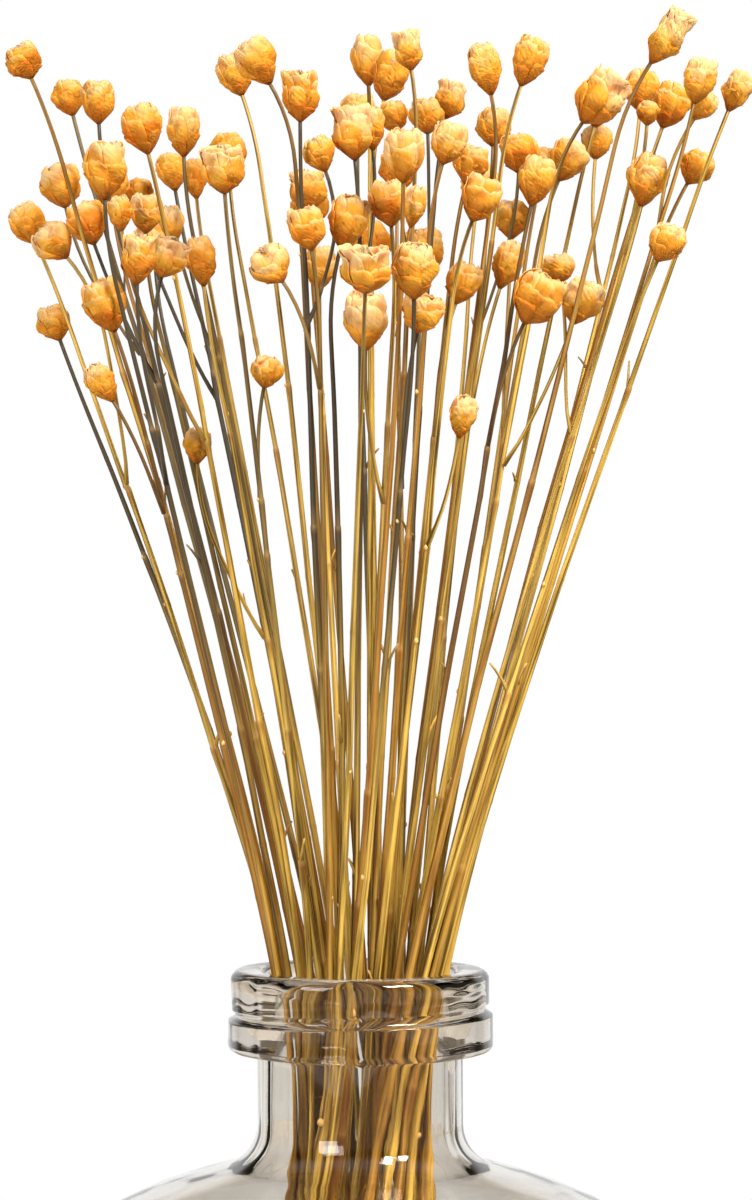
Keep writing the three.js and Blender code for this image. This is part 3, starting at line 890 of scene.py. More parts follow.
@dataclass
class FlowerHead:
    """A closed head of papery bracts in whorls, which dried crumpled round a firm core."""

    head: Head
    spin: float
    draws: Draws
    slot: int
    thickness: float = 0.14
    lump_slope: float = 0.29
    lump_spacing: tuple[float, float] = (0.3, 0.7)
    lump_sets: int = 4
    lump_radius: float = 0.85
    crumple_slope: float = 0.17
    crumple_spacing: tuple[float, float] = (1.8, 3.6)
    crumple_sets: int = 3
    rounding: tuple[float, float] = (0.05, 0.13)
    rounding_power: float = 2.2
    notch_play: float = 0.4
    teeth: tuple[float, float] = (2.0, 4.0)
    tooth_depth: tuple[float, float] = (0.01, 0.035)
    base_width: float = 0.8
    belly_width: float = 0.2
    turn_play: float = 0.15
    lift_play: float = 2.0
    tuck_depth: float = 0.045
    tuck_rise: float = 1.1
    frill_depth: float = 0.13
    frill_waves: float = 7.0
    fold_start: tuple[float, float] = (0.03, 0.4)
    inset_start: tuple[float, float] = (0.0, 0.3)
    thickness_start: tuple[float, float] = (-0.2, 0.15)
    tone_start: tuple[float, float] = (0.1, 0.5)
    highlight_start: tuple[float, float] = (0.4, 0.85)
    # Pale rims and tips of the bracts: a painted highlight.
    side_highlight: float = 0.4
    side_highlight_power: int = 12
    tip_highlight: tuple[float, float] = (0.8, 1.0)
    # How far the sunk creases are darkened: painted shade.
    crease_shade_level: float = 0.5
    crease_shade_depth: float = 1.2
    whorl_mark: float = 10.0
    tone_play: float = 0.2
    ovalness: float = 0.08
    leaning: float = 0.14
    least_radius: float = 0.05
    core_inset: float = 0.24
    core_start: tuple[float, float] = (0.0, 0.4)
    core_sides: int = 12
    core_rings: int = 9
    core_crowding: float = 0.8
    core_least_radius: float = 0.3
    core_top: float = 0.5
    core_shade: float = 0.6

    def __post_init__(self) -> None:
        """Draws what sets the head apart from its neighbours."""
        self.half_width = self.head.width / 2
        self.shape = SHAPES[self.head.form]
        self.outline = Outline(self.shape, self.half_width, self.head.length)
        self.mark = MARKS * self.draws.share()
        self.tone = self.draws.within(-self.tone_play, self.tone_play)
        self.oval = self.draws.within(0.0, self.ovalness)
        self.oval_turn = self.draws.within(0, math.pi)
        self.sway = self.draws.within(0.0, self.leaning)
        self.sway_turn = self.draws.within(0, FULL_TURN)
        spacing = tuple(share * self.head.width for share in self.lump_spacing)
        radius = self.lump_radius * self.half_width
        self.lumps = Folds(self.draws, self.lump_slope, self.lump_sets, spacing, radius)

    def spun(self, radius: np.ndarray, angle: np.ndarray, height: np.ndarray) -> np.ndarray:
        """Turns radius, angle and height on the head into places, a little out of round.

        Args:
            radius: Distance from the head's axis.
            angle: Angle round the axis, in radians.
            height: Height over the head's base.

        Returns:
            x, y and z in the last dimension.
        """
        rise = height / self.head.length
        squash = 1 + self.oval * rise * np.cos(2 * (angle - self.oval_turn))
        side, front = frames_along(self.head.axis)
        sideways = side * math.cos(self.sway_turn) + front * math.sin(self.sway_turn)
        lean = (self.sway * self.half_width * rise**2)[..., None] * sideways
        spoke = side * np.cos(angle)[..., None] + front * np.sin(angle)[..., None]
        out = spoke * (radius * squash)[..., None]
        return self.head.base + out + self.head.axis * height[..., None] + lean

    def bract(self, layer: BractLayer, index: int) -> tuple[np.ndarray, np.ndarray, np.ndarray]:
        """Shapes one bract.

        Args:
            layer: The whorl that it belongs to.
            index: Its number in the whorl.

        Returns:
            The places, shades and grains of its points, outer face first.
        """
        half = self.half_width
        across = np.linspace(-1, 1, layer.columns)[None, :]
        along = np.linspace(0, 1, layer.rows)[:, None]
        reach = min(1.0, layer.reach * self.draws.within(*layer.play))
        rounding = self.draws.within(*self.rounding)
        notch = self.draws.within(-self.notch_play, self.notch_play)
        teeth = math.pi * (self.draws.within(*self.teeth) * across + self.draws.within(0, 2))
        ragged = self.draws.within(*self.tooth_depth) * np.sin(teeth)
        cut = rounding * np.abs(across - notch) ** self.rounding_power - ragged
        share = reach * along * (1 - cut * along**2)
        place, outward = self.outline.at(share)
        swell = self.base_width + self.belly_width * np.sin(math.pi * along)
        width = math.pi / layer.count * layer.overlap * swell
        place_round = index + layer.turn + self.draws.within(-self.turn_play, self.turn_play)
        angle = self.spin + FULL_TURN * place_round / layer.count + across * width
        span = across * width * half
        lift = layer.lift * half * along**3 * self.draws.within(0.0, self.lift_play)
        tuck = self.tuck_depth * half * across * np.sin(math.pi * np.minimum(1, along * self.tuck_rise) / 2)
        ripple = np.sin(self.frill_waves * across + self.draws.within(*PHASES))
        frill = self.frill_depth * along**4 * np.abs(across) * ripple
        crumple = Folds(self.draws, self.crumple_slope, self.crumple_sets, self.crumple_spacing)
        creases = crumple.at(span, along * self.outline.length)
        lumps = self.lumps.at(angle * self.lump_radius * half, place[..., 1])
        folds = (creases + lumps) * ease(share, *self.fold_start)
        stand = -layer.inset * half * ease(share, *self.inset_start) + lift + tuck + frill + folds
        faces = []
        for depth in (0.0, self.thickness):
            sunk = stand - depth * ease(along, *self.thickness_start)
            shell = place + outward * sunk[..., None]
            radius = np.maximum(shell[..., 0] * (1 - layer.closing * along**3), self.least_radius)
            faces.append(self.spun(radius, np.broadcast_to(angle, radius.shape), shell[..., 1]))
        tone = self.tone + self.draws.within(-self.tone_play, self.tone_play)
        # The colour's height share: the finish darkens the base and pales the top with it, partly as painted
        # shade and painted light.
        rise = place[..., 1] / self.head.length + tone * ease(share, *self.tone_start)
        # Pale rims and tips, on the upper part of the head only: a painted highlight.
        edge = self.side_highlight * np.abs(across) ** self.side_highlight_power + ease(along, *self.tip_highlight)
        edge = np.clip(edge, 0, 1) * ease(share, *self.highlight_start)
        # Sunk creases are noted for the darker fold colour: painted shade.
        crease_shade = np.clip(self.crease_shade_level - self.crease_shade_depth * folds, 0, 1)
        shade = np.stack(np.broadcast_arrays(rise, edge, crease_shade), axis=-1)
        mark = self.mark + index + self.whorl_mark * layer.inset
        grain = np.stack(np.broadcast_arrays(span, along * self.outline.length, mark), axis=-1)
        return np.array(faces), np.array([shade, shade]), np.array([grain, grain])

    def core(self) -> Tube:
        """Shapes the firm core that fills the head behind its bracts.

        Returns:
            A tube along the head's axis.
        """
        shares = np.linspace(0, 1, self.core_rings) ** self.core_crowding
        heights = shares * self.shape.mouth * self.head.length
        radii = np.interp(heights, self.outline.line[:, 1], self.outline.line[:, 0])
        inset = self.core_inset * self.half_width * ease(shares, *self.core_start)
        radii = np.maximum(radii - inset, self.core_least_radius)
        radii[-1] *= self.core_top
        line = self.head.base + self.head.axis * heights[:, None]
        # The core takes the full crease colour and never reaches the pale top: painted shade, as it lies deep
        # behind the bracts.
        shades = np.zeros((len(heights), 3))
        shades[:, 0] = self.core_shade * heights / self.head.length
        shades[:, 2] = 1
        return Tube(line, radii, shades, self.core_sides, mark=self.mark)

    def add_to(self, parts: MeshParts) -> None:
        """Adds the head to a stem's mesh.

        Args:
            parts: The stem's mesh.
        """
        self.core().add_to(parts, self.slot)
        for layer in self.shape.layers:
            for index in range(layer.count):
                points, shade, grain = self.bract(layer, index)
                parts.add(points, sheet_faces(layer.rows, layer.columns), self.slot, shade, grain)


# Stalks


@dataclass(frozen=True)
class SideProfile:
    """A small piece on a stalk's side, by its steps: how far along it, its radius and how pale it is."""

    steps: tuple[float, ...]
    radii: tuple[float, ...]
    pale: tuple[float, ...]
    sides: int = 6


BROKEN_TWIG = SideProfile((0.0, 0.35, 0.75, 1.0), (0.75, 0.5, 0.42, 0.34), (0.1, 0.0, 0.1, 0.5))
NODULE = SideProfile(
    (-1.0, -0.75, -0.2, 0.45, 0.85, 1.15), (0.2, 0.7, 1.0, 0.85, 0.5, 0.12), (0.3, 0.5, 0.8, 1.0, 1.0, 0.9)
)


@dataclass
class Stalk:
    """A woody shoot: a ribbed tube with knots, pale nodules and short broken twigs."""

    shoot: Shoot
    draws: Draws
    slot: int
    greyness: float
    tone: float
    girth: float
    forks: Sequence[float] = ()
    top_girth: float = 0.88
    sides: int = 10
    rib: float = 0.09
    ring_step: float = 6.0
    least_ring_step: float = 0.25
    bend_length: float = 12.0
    bend_rings: int = 6
    sink: float = 1.2
    foot_gap: float = 0.5
    first_knot: tuple[float, float] = (6.0, 30.0)
    last_knot_drop: float = 6.0
    knot_spacing: tuple[float, float] = (26.0, 60.0)
    knot_length: float = 0.8
    knot_swell: float = 0.22
    sheath_share: float = 0.35
    plain_swell: float = 0.4
    sheath_tone: float = 0.8
    sheath: tuple[tuple[float, float], ...] = (
        (-9.0, 0.0), (-4.0, 0.7), (-1.2, 1.0), (0.0, 0.85), (0.6, 0.0),
    )
    sheath_play: tuple[float, float] = (0.35, 1.3)
    lip_paleness: float = 0.2
    root_swell: float = 0.5
    root_length: float = 2.5
    kink: float = 0.4
    kink_fade: float = 20.0
    broken_twig_share: float = 0.2
    nodule_share: float = 0.3
    twig_lengths: tuple[float, float] = (1.5, 8.0)
    twig_leaning: tuple[float, float] = (0.12, 0.45)
    twig_curve: float = 0.25
    twig_rise: float = 0.6
    twig_seat: float = 0.3
    nodule_seat: float = 0.9
    nodule_sizes: tuple[float, float] = (0.5, 0.85)
    nodule_stretch: float = 1.3
    nodule_leaning: float = 0.35
    grey_heights: tuple[float, float] = (195.0, 325.0)
    # How grey a stalk is just under its head, for a gold and for a grey stalk: partly its own grey, partly
    # painted shade under the head.
    neck_grey_and_shade: tuple[float, float] = (0.3, 0.92)
    neck_reach: float = 36.0

    @property
    def is_twig(self) -> bool:
        """Whether the shoot leaves another one."""
        return isinstance(self.shoot, Twig)

    def radius_at(self, z: np.ndarray) -> np.ndarray:
        """Gives the radius at a height: the stalk has its own girth at its foot, and all tops share one."""
        girth = self.girth + (self.top_girth - self.girth) * self.shoot.share_at(z)
        return self.shoot.radius_at(z) * girth

    def knots(self) -> np.ndarray:
        """Places the knots, from above the vase's floor to below the head.

        Returns:
            Their heights and those of the forks, from below.
        """
        heights = []
        z = self.shoot.bottom + self.draws.within(*self.first_knot)
        while z < self.shoot.head.neck[2] - self.bend_length - self.last_knot_drop:
            heights.append(z)
            z += self.draws.within(*self.knot_spacing)
        return np.sort(np.concatenate([heights, self.forks]))

    def add_to(self, parts: MeshParts) -> None:
        """Adds the stalk with its knots and broken twigs to a stem's mesh.

        Args:
            parts: The stem's mesh.
        """
        knots = self.knots()
        self.tube(knots).add_to(parts, self.slot)
        for z in knots:
            kind = self.draws.share()
            turn = self.draws.within(0, FULL_TURN)
            if kind < self.broken_twig_share:
                self.broken_twig(z, turn).add_to(parts, self.slot)
            elif kind < self.broken_twig_share + self.nodule_share:
                self.nodule(z, turn).add_to(parts, self.slot)

    def tube(self, knots: np.ndarray) -> Tube:
        """Shapes the stalk's own tube.

        Args:
            knots: Heights of its knots.

        Returns:
            The tube, from the foot of the shoot into the base of its head.
        """
        top = self.shoot.head.neck[2] - self.bend_length
        sheath = np.array(self.sheath)
        lengths = np.array([self.draws.within(*self.sheath_play) for _ in knots])
        steps = np.where(sheath[:, 0] < 0, lengths[:, None] * sheath[:, 0], sheath[:, 0])
        near_knots = (knots[:, None] + steps).ravel()
        levels = np.arange(self.shoot.bottom + self.foot_gap, top, self.ring_step)
        levels = np.unique(np.concatenate([levels, near_knots[near_knots < top - 1], [top]]))
        levels = levels[np.concatenate([[True], np.diff(levels) > self.least_ring_step])]
        line = np.column_stack([self.shoot.place_at(levels), levels])
        offsets = np.array([[self.draws.within(-1, 1) for _ in (0, 1)] for _ in knots])
        if len(knots):
            fade = ease(levels, self.shoot.bottom, self.shoot.bottom + self.kink_fade)
            fade = fade * (1 - ease(levels, top - self.kink_fade, top))
            for i in (0, 1):
                line[:, i] += self.kink * fade * np.interp(levels, knots, offsets[:, i])
        line = np.vstack([line, self.bend(line)])
        heights = line[:, 2]
        swell = np.zeros_like(heights)
        lip = np.zeros_like(heights)
        for z, places in zip(knots, knots[:, None] + steps):
            at_knot = np.exp(-(((heights - z) / self.knot_length) ** 2))
            if self.draws.share() < self.sheath_share:
                swell = np.maximum(swell, np.interp(heights, places, sheath[:, 1], 0, 0))
                lip = np.maximum(lip, at_knot)
            else:
                swell = np.maximum(swell, self.plain_swell * at_knot)
        root = self.root_swell * np.exp(-(heights - self.shoot.bottom) / self.root_length)
        radii = self.radius_at(heights) * (1 + self.knot_swell * swell + root * self.is_twig)
        shades = self.shades(heights, self.lip_paleness * lip, self.sheath_tone * swell)
        spin = self.draws.within(*PHASES)
        return Tube(line, radii, shades, self.sides, self.rib, spin, MARKS * self.draws.share())

    def bend(self, line: np.ndarray) -> np.ndarray:
        """Curves the top of the stalk smoothly into the axis of its head.

        Args:
            line: The stalk below its bend.

        Returns:
            The points of the bend, after the line's last.
        """
        head = self.shoot.head
        start = line[-1]
        end = head.base + head.axis * self.sink
        pull = np.linalg.norm(end - start)
        leave = unit(line[-1] - line[-2]) * pull
        arrive = head.axis * pull
        t = np.linspace(0, 1, self.bend_rings + 1)[1:, None]
        return (
            (2 * t**3 - 3 * t**2 + 1) * start + (t**3 - 2 * t**2 + t) * leave
            + (3 * t**2 - 2 * t**3) * end + (t**3 - t**2) * arrive
        )

    def shades(self, heights: np.ndarray, pale: np.ndarray, sheath: np.ndarray | float = 0.0) -> np.ndarray:
        """Notes the shade for the finish.

        Args:
            heights: Heights on the stalk.
            pale: How pale the scars are there.
            sheath: How much of a brown sheath is there.

        Returns:
            How grey, how pale and how brown the stalk is at each height.
        """
        top = self.shoot.head.base[2]
        # Every stalk greys just under its head, a gold one too: partly its own grey and partly painted shade
        # under the head.
        least, most = self.neck_grey_and_shade
        under_head_grey_and_shade = least + (most - least) * self.greyness
        grey = self.greyness * ease(heights, *self.grey_heights)
        grey = np.maximum(grey, under_head_grey_and_shade * ease(heights, top - self.neck_reach, top))
        brown = self.tone + (1 - self.tone) * sheath
        return np.column_stack(np.broadcast_arrays(grey, pale, brown))

    def side_at(self, z: float, turn: float) -> tuple[np.ndarray, np.ndarray, float]:
        """Finds one side of the stalk.

        Args:
            z: The height.
            turn: Where the side is round the stalk, in radians.

        Returns:
            The middle of the stalk, the direction to the side, and the radius.
        """
        x, y = self.shoot.place_at(np.float64(z))
        spoke = np.array([math.cos(turn), math.sin(turn), 0.0])
        return np.array([x, y, z]), spoke, float(self.radius_at(np.float64(z)))

    def broken_twig(self, z: float, turn: float) -> Tube:
        """Shapes a short twig that broke off above a knot.

        Args:
            z: Height of the knot.
            turn: Where it stands round the stalk, in radians.

        Returns:
            The broken twig.
        """
        middle, spoke, radius = self.side_at(z, turn)
        length = self.draws.within(*self.twig_lengths)
        heading = unit(spoke * self.draws.within(*self.twig_leaning) + UP)
        steps = np.array(BROKEN_TWIG.steps)
        line = middle + heading * (radius * self.twig_rise + length * steps)[:, None]
        line = line + spoke * (radius * self.twig_seat)
        line = line + spoke * (self.twig_curve * length * steps**2)[:, None]
        return self.side_tube(BROKEN_TWIG, line, radius, z)

    def nodule(self, z: float, turn: float) -> Tube:
        """Shapes a small dry bud or leaf scar that stands out beside a knot.

        Args:
            z: Height of the knot.
            turn: Where it stands round the stalk, in radians.

        Returns:
            The nodule.
        """
        middle, spoke, radius = self.side_at(z, turn)
        size = radius * self.draws.within(*self.nodule_sizes)
        heading = UP * self.nodule_stretch + spoke * self.nodule_leaning
        seat = middle + spoke * radius * self.nodule_seat
        line = seat + heading * (size * np.array(NODULE.steps))[:, None]
        return self.side_tube(NODULE, line, size, z)

    def side_tube(self, profile: SideProfile, line: np.ndarray, size: float, mark: float) -> Tube:
        """Makes a small side piece along a line, from its profile and its size."""
        shades = self.shades(line[:, 2], np.array(profile.pale))
        return Tube(line, size * np.array(profile.radii), shades, profile.sides, mark=mark)


# Rings of corners that the frame draws for a head, before it draws the next head's spin.
FRAME_RINGS = {ROUND: 4, EGG: 5, BARREL: 5, CUP: 5}
CORNERS_A_RING = 20


@dataclass
class FlowerStem:
    """One dried stem of the bouquet: its stalks, and the heads at their ends.

    Some stems stay gold and some weather grey, fewer of them on the right, where the photograph's are bright:
    the extra gold there is partly painted light, on the side that the key lamp lights.
    """

    number: int
    shoots: list[Shoot]
    stalk_finish: bpy.types.Material
    bract_finish: bpy.types.Material
    # How far right, and how much, the grey gives way to gold: partly painted light from the key lamp's side.
    painted_light_reach: float = 60.0
    painted_light_share: float = 0.25
    grey_share: tuple[float, float] = (0.32, 0.78)
    girths: tuple[float, float] = (0.72, 1.04)

    def build(self) -> bpy.types.Object:
        """Builds the stem as one piece, in the place of its solid in the frame.

        Returns:
            The stem.
        """
        spins = Draws(LAYOUT_SEED + self.number)
        draws = Draws(DETAIL_SEED + DETAIL_SEED_STEP * self.number)
        draws.skip(1)
        weather = Draws(LAYOUT_SEED * self.number)
        weather.skip(2)
        # Stems further right turn grey less often: partly painted light, on the side that the key lamp
        # lights.
        rightness = max(0.0, self.shoots[0].head.base[0] / self.painted_light_reach)
        greyness = float(ease(weather.share() - self.painted_light_share * rightness, *self.grey_share))
        parts = MeshParts()
        tone = draws.share()
        girth = draws.within(*self.girths)
        forks = [shoot.bottom for shoot in self.shoots[1:]]
        for shoot in self.shoots:
            spin = FULL_TURN * spins.share()
            spins.skip(CORNERS_A_RING * FRAME_RINGS[shoot.head.form])
            Stalk(shoot, draws, 0, greyness, tone, girth, forks).add_to(parts)
            forks = []
            FlowerHead(shoot.head, spin, draws, 1).add_to(parts)
        piece = parts.make(f"dried_stem_{self.number:02d}", [self.stalk_finish, self.bract_finish])
        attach(piece, BODY)
        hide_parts(f"flower_stem_{self.number:02d}")
        return piece


# Vase


@dataclass
class GlassVase:
    """A bottle vase of clear glass with a straight neck and a thick collar of two rings."""

    finish: bpy.types.Material
    height: float = 190.0
    wall: float = 2.8
    floor: float = 9.0
    body_radius: float = 82.0
    body_corner: float = 24.0
    shoulder_height: float = 100.0
    shoulder_corner: float = 29.3
    shoulder_crown: float = 115.0
    shoulder_slopes: tuple[float, float] = (27.0, 16.0)
    neck_radius: float = 27.8
    neck_fillet: float = 12.0
    bore_radius: float = 24.0
    bore_fillet: float = 13.0
    collar_height: float = 22.0
    collar_radius: float = 36.0
    lip_radius: float = 35.0
    lip_ring_height: float = 11.4
    groove_depth: float = 1.2
    groove_turn: float = 70.0
    collar_fillet: float = 1.5
    rounding: float = 2.0
    lip_rounding: float = 2.6
    mouth_flare: tuple[tuple[float, float], ...] = ((0.0, 6.5), (0.8, 3.0), (2.4, 0.7), (4.2, 0.0))
    segments: int = 144
    arc_step: float = 7.0
    groove_tilt: float = 0.95
    groove_reach: float = 3.5
    waviness: float = 0.055
    wave_turns: tuple[int, ...] = (3, 5, 8, 13)
    wave_climb: tuple[float, float] = (0.05, 0.25)
    wave_drift: float = 0.3
    still_foot: tuple[float, float] = (10.0, 40.0)
    collar_play: float = 5.4
    collar_blend: float = 4.0
    streak_depth: float = 1.0
    streak_turns: tuple[int, ...] = (14, 19, 23, 31)
    streak_climb: float = 0.02
    streak_drops: tuple[float, float] = (62.0, 42.0)
    streak_fade: float = 0.8
    streak_blend: float = 3.0

    def arc(self, x: float, z: float, radius: float, start: float, end: float) -> np.ndarray:
        """Draws an arc of the outline.

        Args:
            x: Radius of its centre.
            z: Height of its centre.
            radius: Its own radius.
            start: Its first angle in degrees.
            end: Its last angle.

        Returns:
            Radius and height of each point.
        """
        steps = max(2, round(abs(end - start) / self.arc_step))
        angles = np.radians(np.linspace(start, end, steps + 1))
        return np.column_stack([x + radius * np.cos(angles), z + radius * np.sin(angles)])

    def wall_outline(self, inset: float, floor: float, neck: float, fillet: float) -> np.ndarray:
        """Draws one face of the wall, from the floor to the foot of the neck.

        Args:
            inset: How far it lies inside the outer face.
            floor: Height of its floor.
            neck: Its radius in the neck.
            fillet: Radius of its fillet at the foot of the neck.

        Returns:
            Radius and height of each point.
        """
        corner = self.body_corner - inset
        steep, gentle = (90 - slope for slope in self.shoulder_slopes)
        corner_x = self.body_radius - self.body_corner
        shoulder_x = self.body_radius - self.shoulder_corner
        reach = self.shoulder_corner - self.shoulder_crown
        crown_x = shoulder_x + reach * math.cos(math.radians(steep))
        crown_z = self.shoulder_height + reach * math.sin(math.radians(steep))
        crown = self.arc(crown_x, crown_z, self.shoulder_crown - inset, steep, gentle)[1:]
        fillet_z = self.fillet_height(crown[-1], gentle, neck, fillet)
        return np.vstack([
            [[0, floor]],
            self.arc(corner_x, floor + corner, corner, -90, 0),
            self.arc(shoulder_x, self.shoulder_height, self.shoulder_corner - inset, 0, steep),
            crown,
            self.arc(neck + fillet, fillet_z, fillet, 180 + gentle, 180),
        ])

    def fillet_height(self, slope: np.ndarray, gentle: float, neck: float, fillet: float) -> float:
        """Finds the height of a fillet's centre, where its lower end meets the slope below the neck.

        Args:
            slope: Radius and height of the slope's lower end.
            gentle: The slope's angle from upright, in degrees.
            neck: Radius in the neck.
            fillet: The fillet's own radius.

        Returns:
            The height.
        """
        turn = math.radians(gentle)
        end_x = neck + fillet * (1 - math.cos(turn))
        return slope[1] + (slope[0] - end_x) / math.tan(turn) + fillet * math.sin(turn)

    def collar_outline(self) -> np.ndarray:
        """Draws the two stacked rings round the mouth, from their underside up to the lip.

        Returns:
            Radius and height of each point.
        """
        bottom = self.height - self.collar_height
        groove = self.height - self.lip_ring_height
        small = self.groove_depth / 2
        fillet = self.collar_fillet
        return np.vstack([
            self.arc(self.neck_radius + fillet, bottom - fillet, fillet, 180, 90),
            self.arc(self.collar_radius - self.rounding, bottom + self.rounding, self.rounding, -90, 0),
            self.arc(self.collar_radius - small, groove - 3 * small, small, 0, self.groove_turn),
            [[self.lip_radius - self.groove_depth, groove]],
            self.arc(self.lip_radius - small, groove + 3 * small, small, -self.groove_turn, 0),
            self.arc(
                self.lip_radius - self.lip_rounding, self.height - self.lip_rounding, self.lip_rounding, 0, 90
            ),
        ])

    def outline(self) -> np.ndarray:
        """Draws the whole section, from the middle of the foot round the lip to the middle of the floor.

        Returns:
            Radius and height of each point.
        """
        outside = self.wall_outline(0, 0, self.neck_radius, self.neck_fillet)
        mouth = [(self.bore_radius + out, self.height - drop) for out, drop in self.mouth_flare]
        mouth = smooth_line(np.array(mouth), 4)[::-1]
        inside = self.wall_outline(self.wall, self.floor, self.bore_radius, self.bore_fillet)[::-1]
        return np.vstack([outside, self.collar_outline(), mouth, inside])

    def build(self) -> bpy.types.Object:
        """Builds the vase as one closed piece.

        Returns:
            The vase.
        """
        outline = self.outline()
        rim = outline[1:-1]
        angles = FULL_TURN * np.arange(self.segments) / self.segments
        radius = rim[:, :1] + self.waves(rim, angles)
        from_groove = rim[:, 1] - self.height + self.lip_ring_height
        near_groove = np.exp(-((from_groove / self.groove_reach) ** 2))
        outside = rim[:, 0] > self.neck_radius + 1
        tilt = self.groove_tilt * near_groove * outside
        height = rim[:, 1:] + tilt[:, None] * np.cos(angles)
        rings = np.stack([radius * np.cos(angles), radius * np.sin(angles), height], axis=-1)
        ends = np.array([[0, 0, outline[0, 1]], [0, 0, outline[-1, 1]]])
        points = np.vstack([rings.reshape(-1, 3), ends])
        notes = np.zeros_like(points)
        parts = MeshParts()
        parts.add(points, tube_faces(len(rim), self.segments), 0, notes, points)
        piece = parts.make("glass_vase", [self.finish])
        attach(piece, BODY)
        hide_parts("vase")
        return piece

    def waves(self, rim: np.ndarray, angles: np.ndarray) -> np.ndarray:
        """Gives the slight unevenness of hand-finished glass, which fades out at the foot.

        Args:
            rim: Radius and height of the outline's points.
            angles: Angles round the axis, in radians.

        Returns:
            How far each point of each ring lies outside its true place.
        """
        draws = Draws(LAYOUT_SEED)
        out, up = rim.T
        shift = np.zeros((len(rim), len(angles)))
        for turns in self.wave_turns:
            phase = draws.within(*PHASES)
            climb = draws.within(*self.wave_climb)
            wave = turns * angles + phase + (climb * up + self.wave_drift * out)[:, None]
            shift += np.sin(wave) / math.sqrt(turns)
        streaks = np.zeros_like(shift)
        for turns in self.streak_turns:
            wave = turns * angles + draws.within(*PHASES) + (self.streak_climb * up)[:, None]
            streaks += np.sin(wave) / turns
        collar_foot = self.height - self.collar_height
        in_collar = ease(up, collar_foot - self.collar_blend, collar_foot + self.collar_blend)
        no_streaks = ease(up, collar_foot - self.streak_blend, collar_foot + self.streak_blend)
        over_neck_foot = ease(up, *(self.height - drop for drop in self.streak_drops))
        in_neck = over_neck_foot * (1 - self.streak_fade * no_streaks)
        waviness = self.waviness * (1 + self.collar_play * in_collar) * ease(up, *self.still_foot)
        return waviness[:, None] * shift + self.streak_depth * in_neck[:, None] * streaks


# Finishes


def linear(code: str) -> tuple[float, float, float, float]:
    """Turns an sRGB hex colour to linear light."""
    shares = [int(code[i : i + 2], 16) / 255 for i in (1, 3, 5)]
    return (*(s / 12.92 if s <= 0.04045 else ((s + 0.055) / 1.055) ** 2.4 for s in shares), 1.0)


def add_node(
    tree: bpy.types.NodeTree, kind: str, settings: dict | None = None, links: dict | None = None
) -> bpy.types.Node:
    """Adds a shader node.

    Args:
        tree: The material's or world's node tree.
        kind: Blender's name of the node's type, without ShaderNode in front.
        settings: Values for its properties, and for its sockets by name or number.
        links: What feeds its sockets, by name or number: an output, or a node for its first output in use.

    Returns:
        The node.
    """
    node = tree.nodes.new(f"ShaderNode{kind}")
    for name, value in (settings or {}).items():
        if isinstance(name, int) or name in node.inputs:
            node.inputs[name].default_value = value
        else:
            setattr(node, name, value)
    for name, source in (links or {}).items():
        if isinstance(source, bpy.types.Node):
            source = next(socket for socket in source.outputs if socket.enabled)
        tree.links.new(source, node.inputs[name])
    return node


# Numbers of a colour mix's sockets, because several of them share a name.
MIX_FACTOR = 0
MIX_FIRST = 6
MIX_SECOND = 7


def new_material(name: str) -> tuple[bpy.types.Material, bpy.types.NodeTree]:
    """Makes an empty node material.

    Args:
        name: The material's name.

    Returns:
        The material and its node tree.
    """
    material = bpy.data.materials.new(name)
    material.use_nodes = True
    material.node_tree.nodes.clear()
    return material, material.node_tree


def surface_notes(tree: bpy.types.NodeTree) -> tuple[bpy.types.Node, bpy.types.NodeSocket]:
    """Reads the two notes that a mesh's points carry.

    Args:
        tree: The material's node tree.

    Returns:
        A node with the three shares of the shade as X, Y and Z, and the socket of the grain.
    """
    shade, grain = (
        add_node(tree, "Attribute", {"attribute_name": note}).outputs["Vector"] for note in ("shade", "grain")
    )
    return add_node(tree, "SeparateXYZ", {}, {"Vector": shade}), grain


@dataclass(frozen=True)
class Coat:
    """A colour over the one below it: none at its mask's start, and its most where the mask is full."""

    colour: str
    start: float = 0.0
    full: float = 1.0
    most: float = 1.0

    def over(
        self, tree: bpy.types.NodeTree, below: bpy.types.Node | str,
        mask: bpy.types.Node | bpy.types.NodeSocket,
    ) -> bpy.types.Node:
        """Lays the coat.

        Args:
            tree: The material's node tree.
            below: The colour that it covers, as a node or an sRGB hex code.
            mask: What says where it lies.

        Returns:
            The node that gives the new colour.
        """
        bounds = {"From Min": self.start, "From Max": self.full, "To Max": self.most}
        share = add_node(tree, "MapRange", bounds, {"Value": mask})
        settings = {"data_type": "RGBA", MIX_SECOND: linear(self.colour)}
        links = {MIX_FACTOR: share}
        if isinstance(below, str):
            settings[MIX_FIRST] = linear(below)
        else:
            links[MIX_FIRST] = below
        return add_node(tree, "Mix", settings, links)


@dataclass(frozen=True)
class Fibres:
    """Noise drawn out along the grain: the size of its marks across and along in millimetres."""

    across: float
    along: float
    detail: float

    def draw(self, tree: bpy.types.NodeTree, grain: bpy.types.NodeSocket) -> bpy.types.Node:
        """Draws the noise.

        Args:
            tree: The material's node tree.
            grain: The place on the surface in millimetres.

        Returns:
            The node that gives the noise.
        """
        drawn_out = (1 / self.across, 1 / self.along, 1)
        place = add_node(tree, "VectorMath", {"operation": "MULTIPLY", 1: drawn_out}, {0: grain})
        return add_node(tree, "TexNoise", {"Scale": 1.0, "Detail": self.detail}, {"Vector": place})


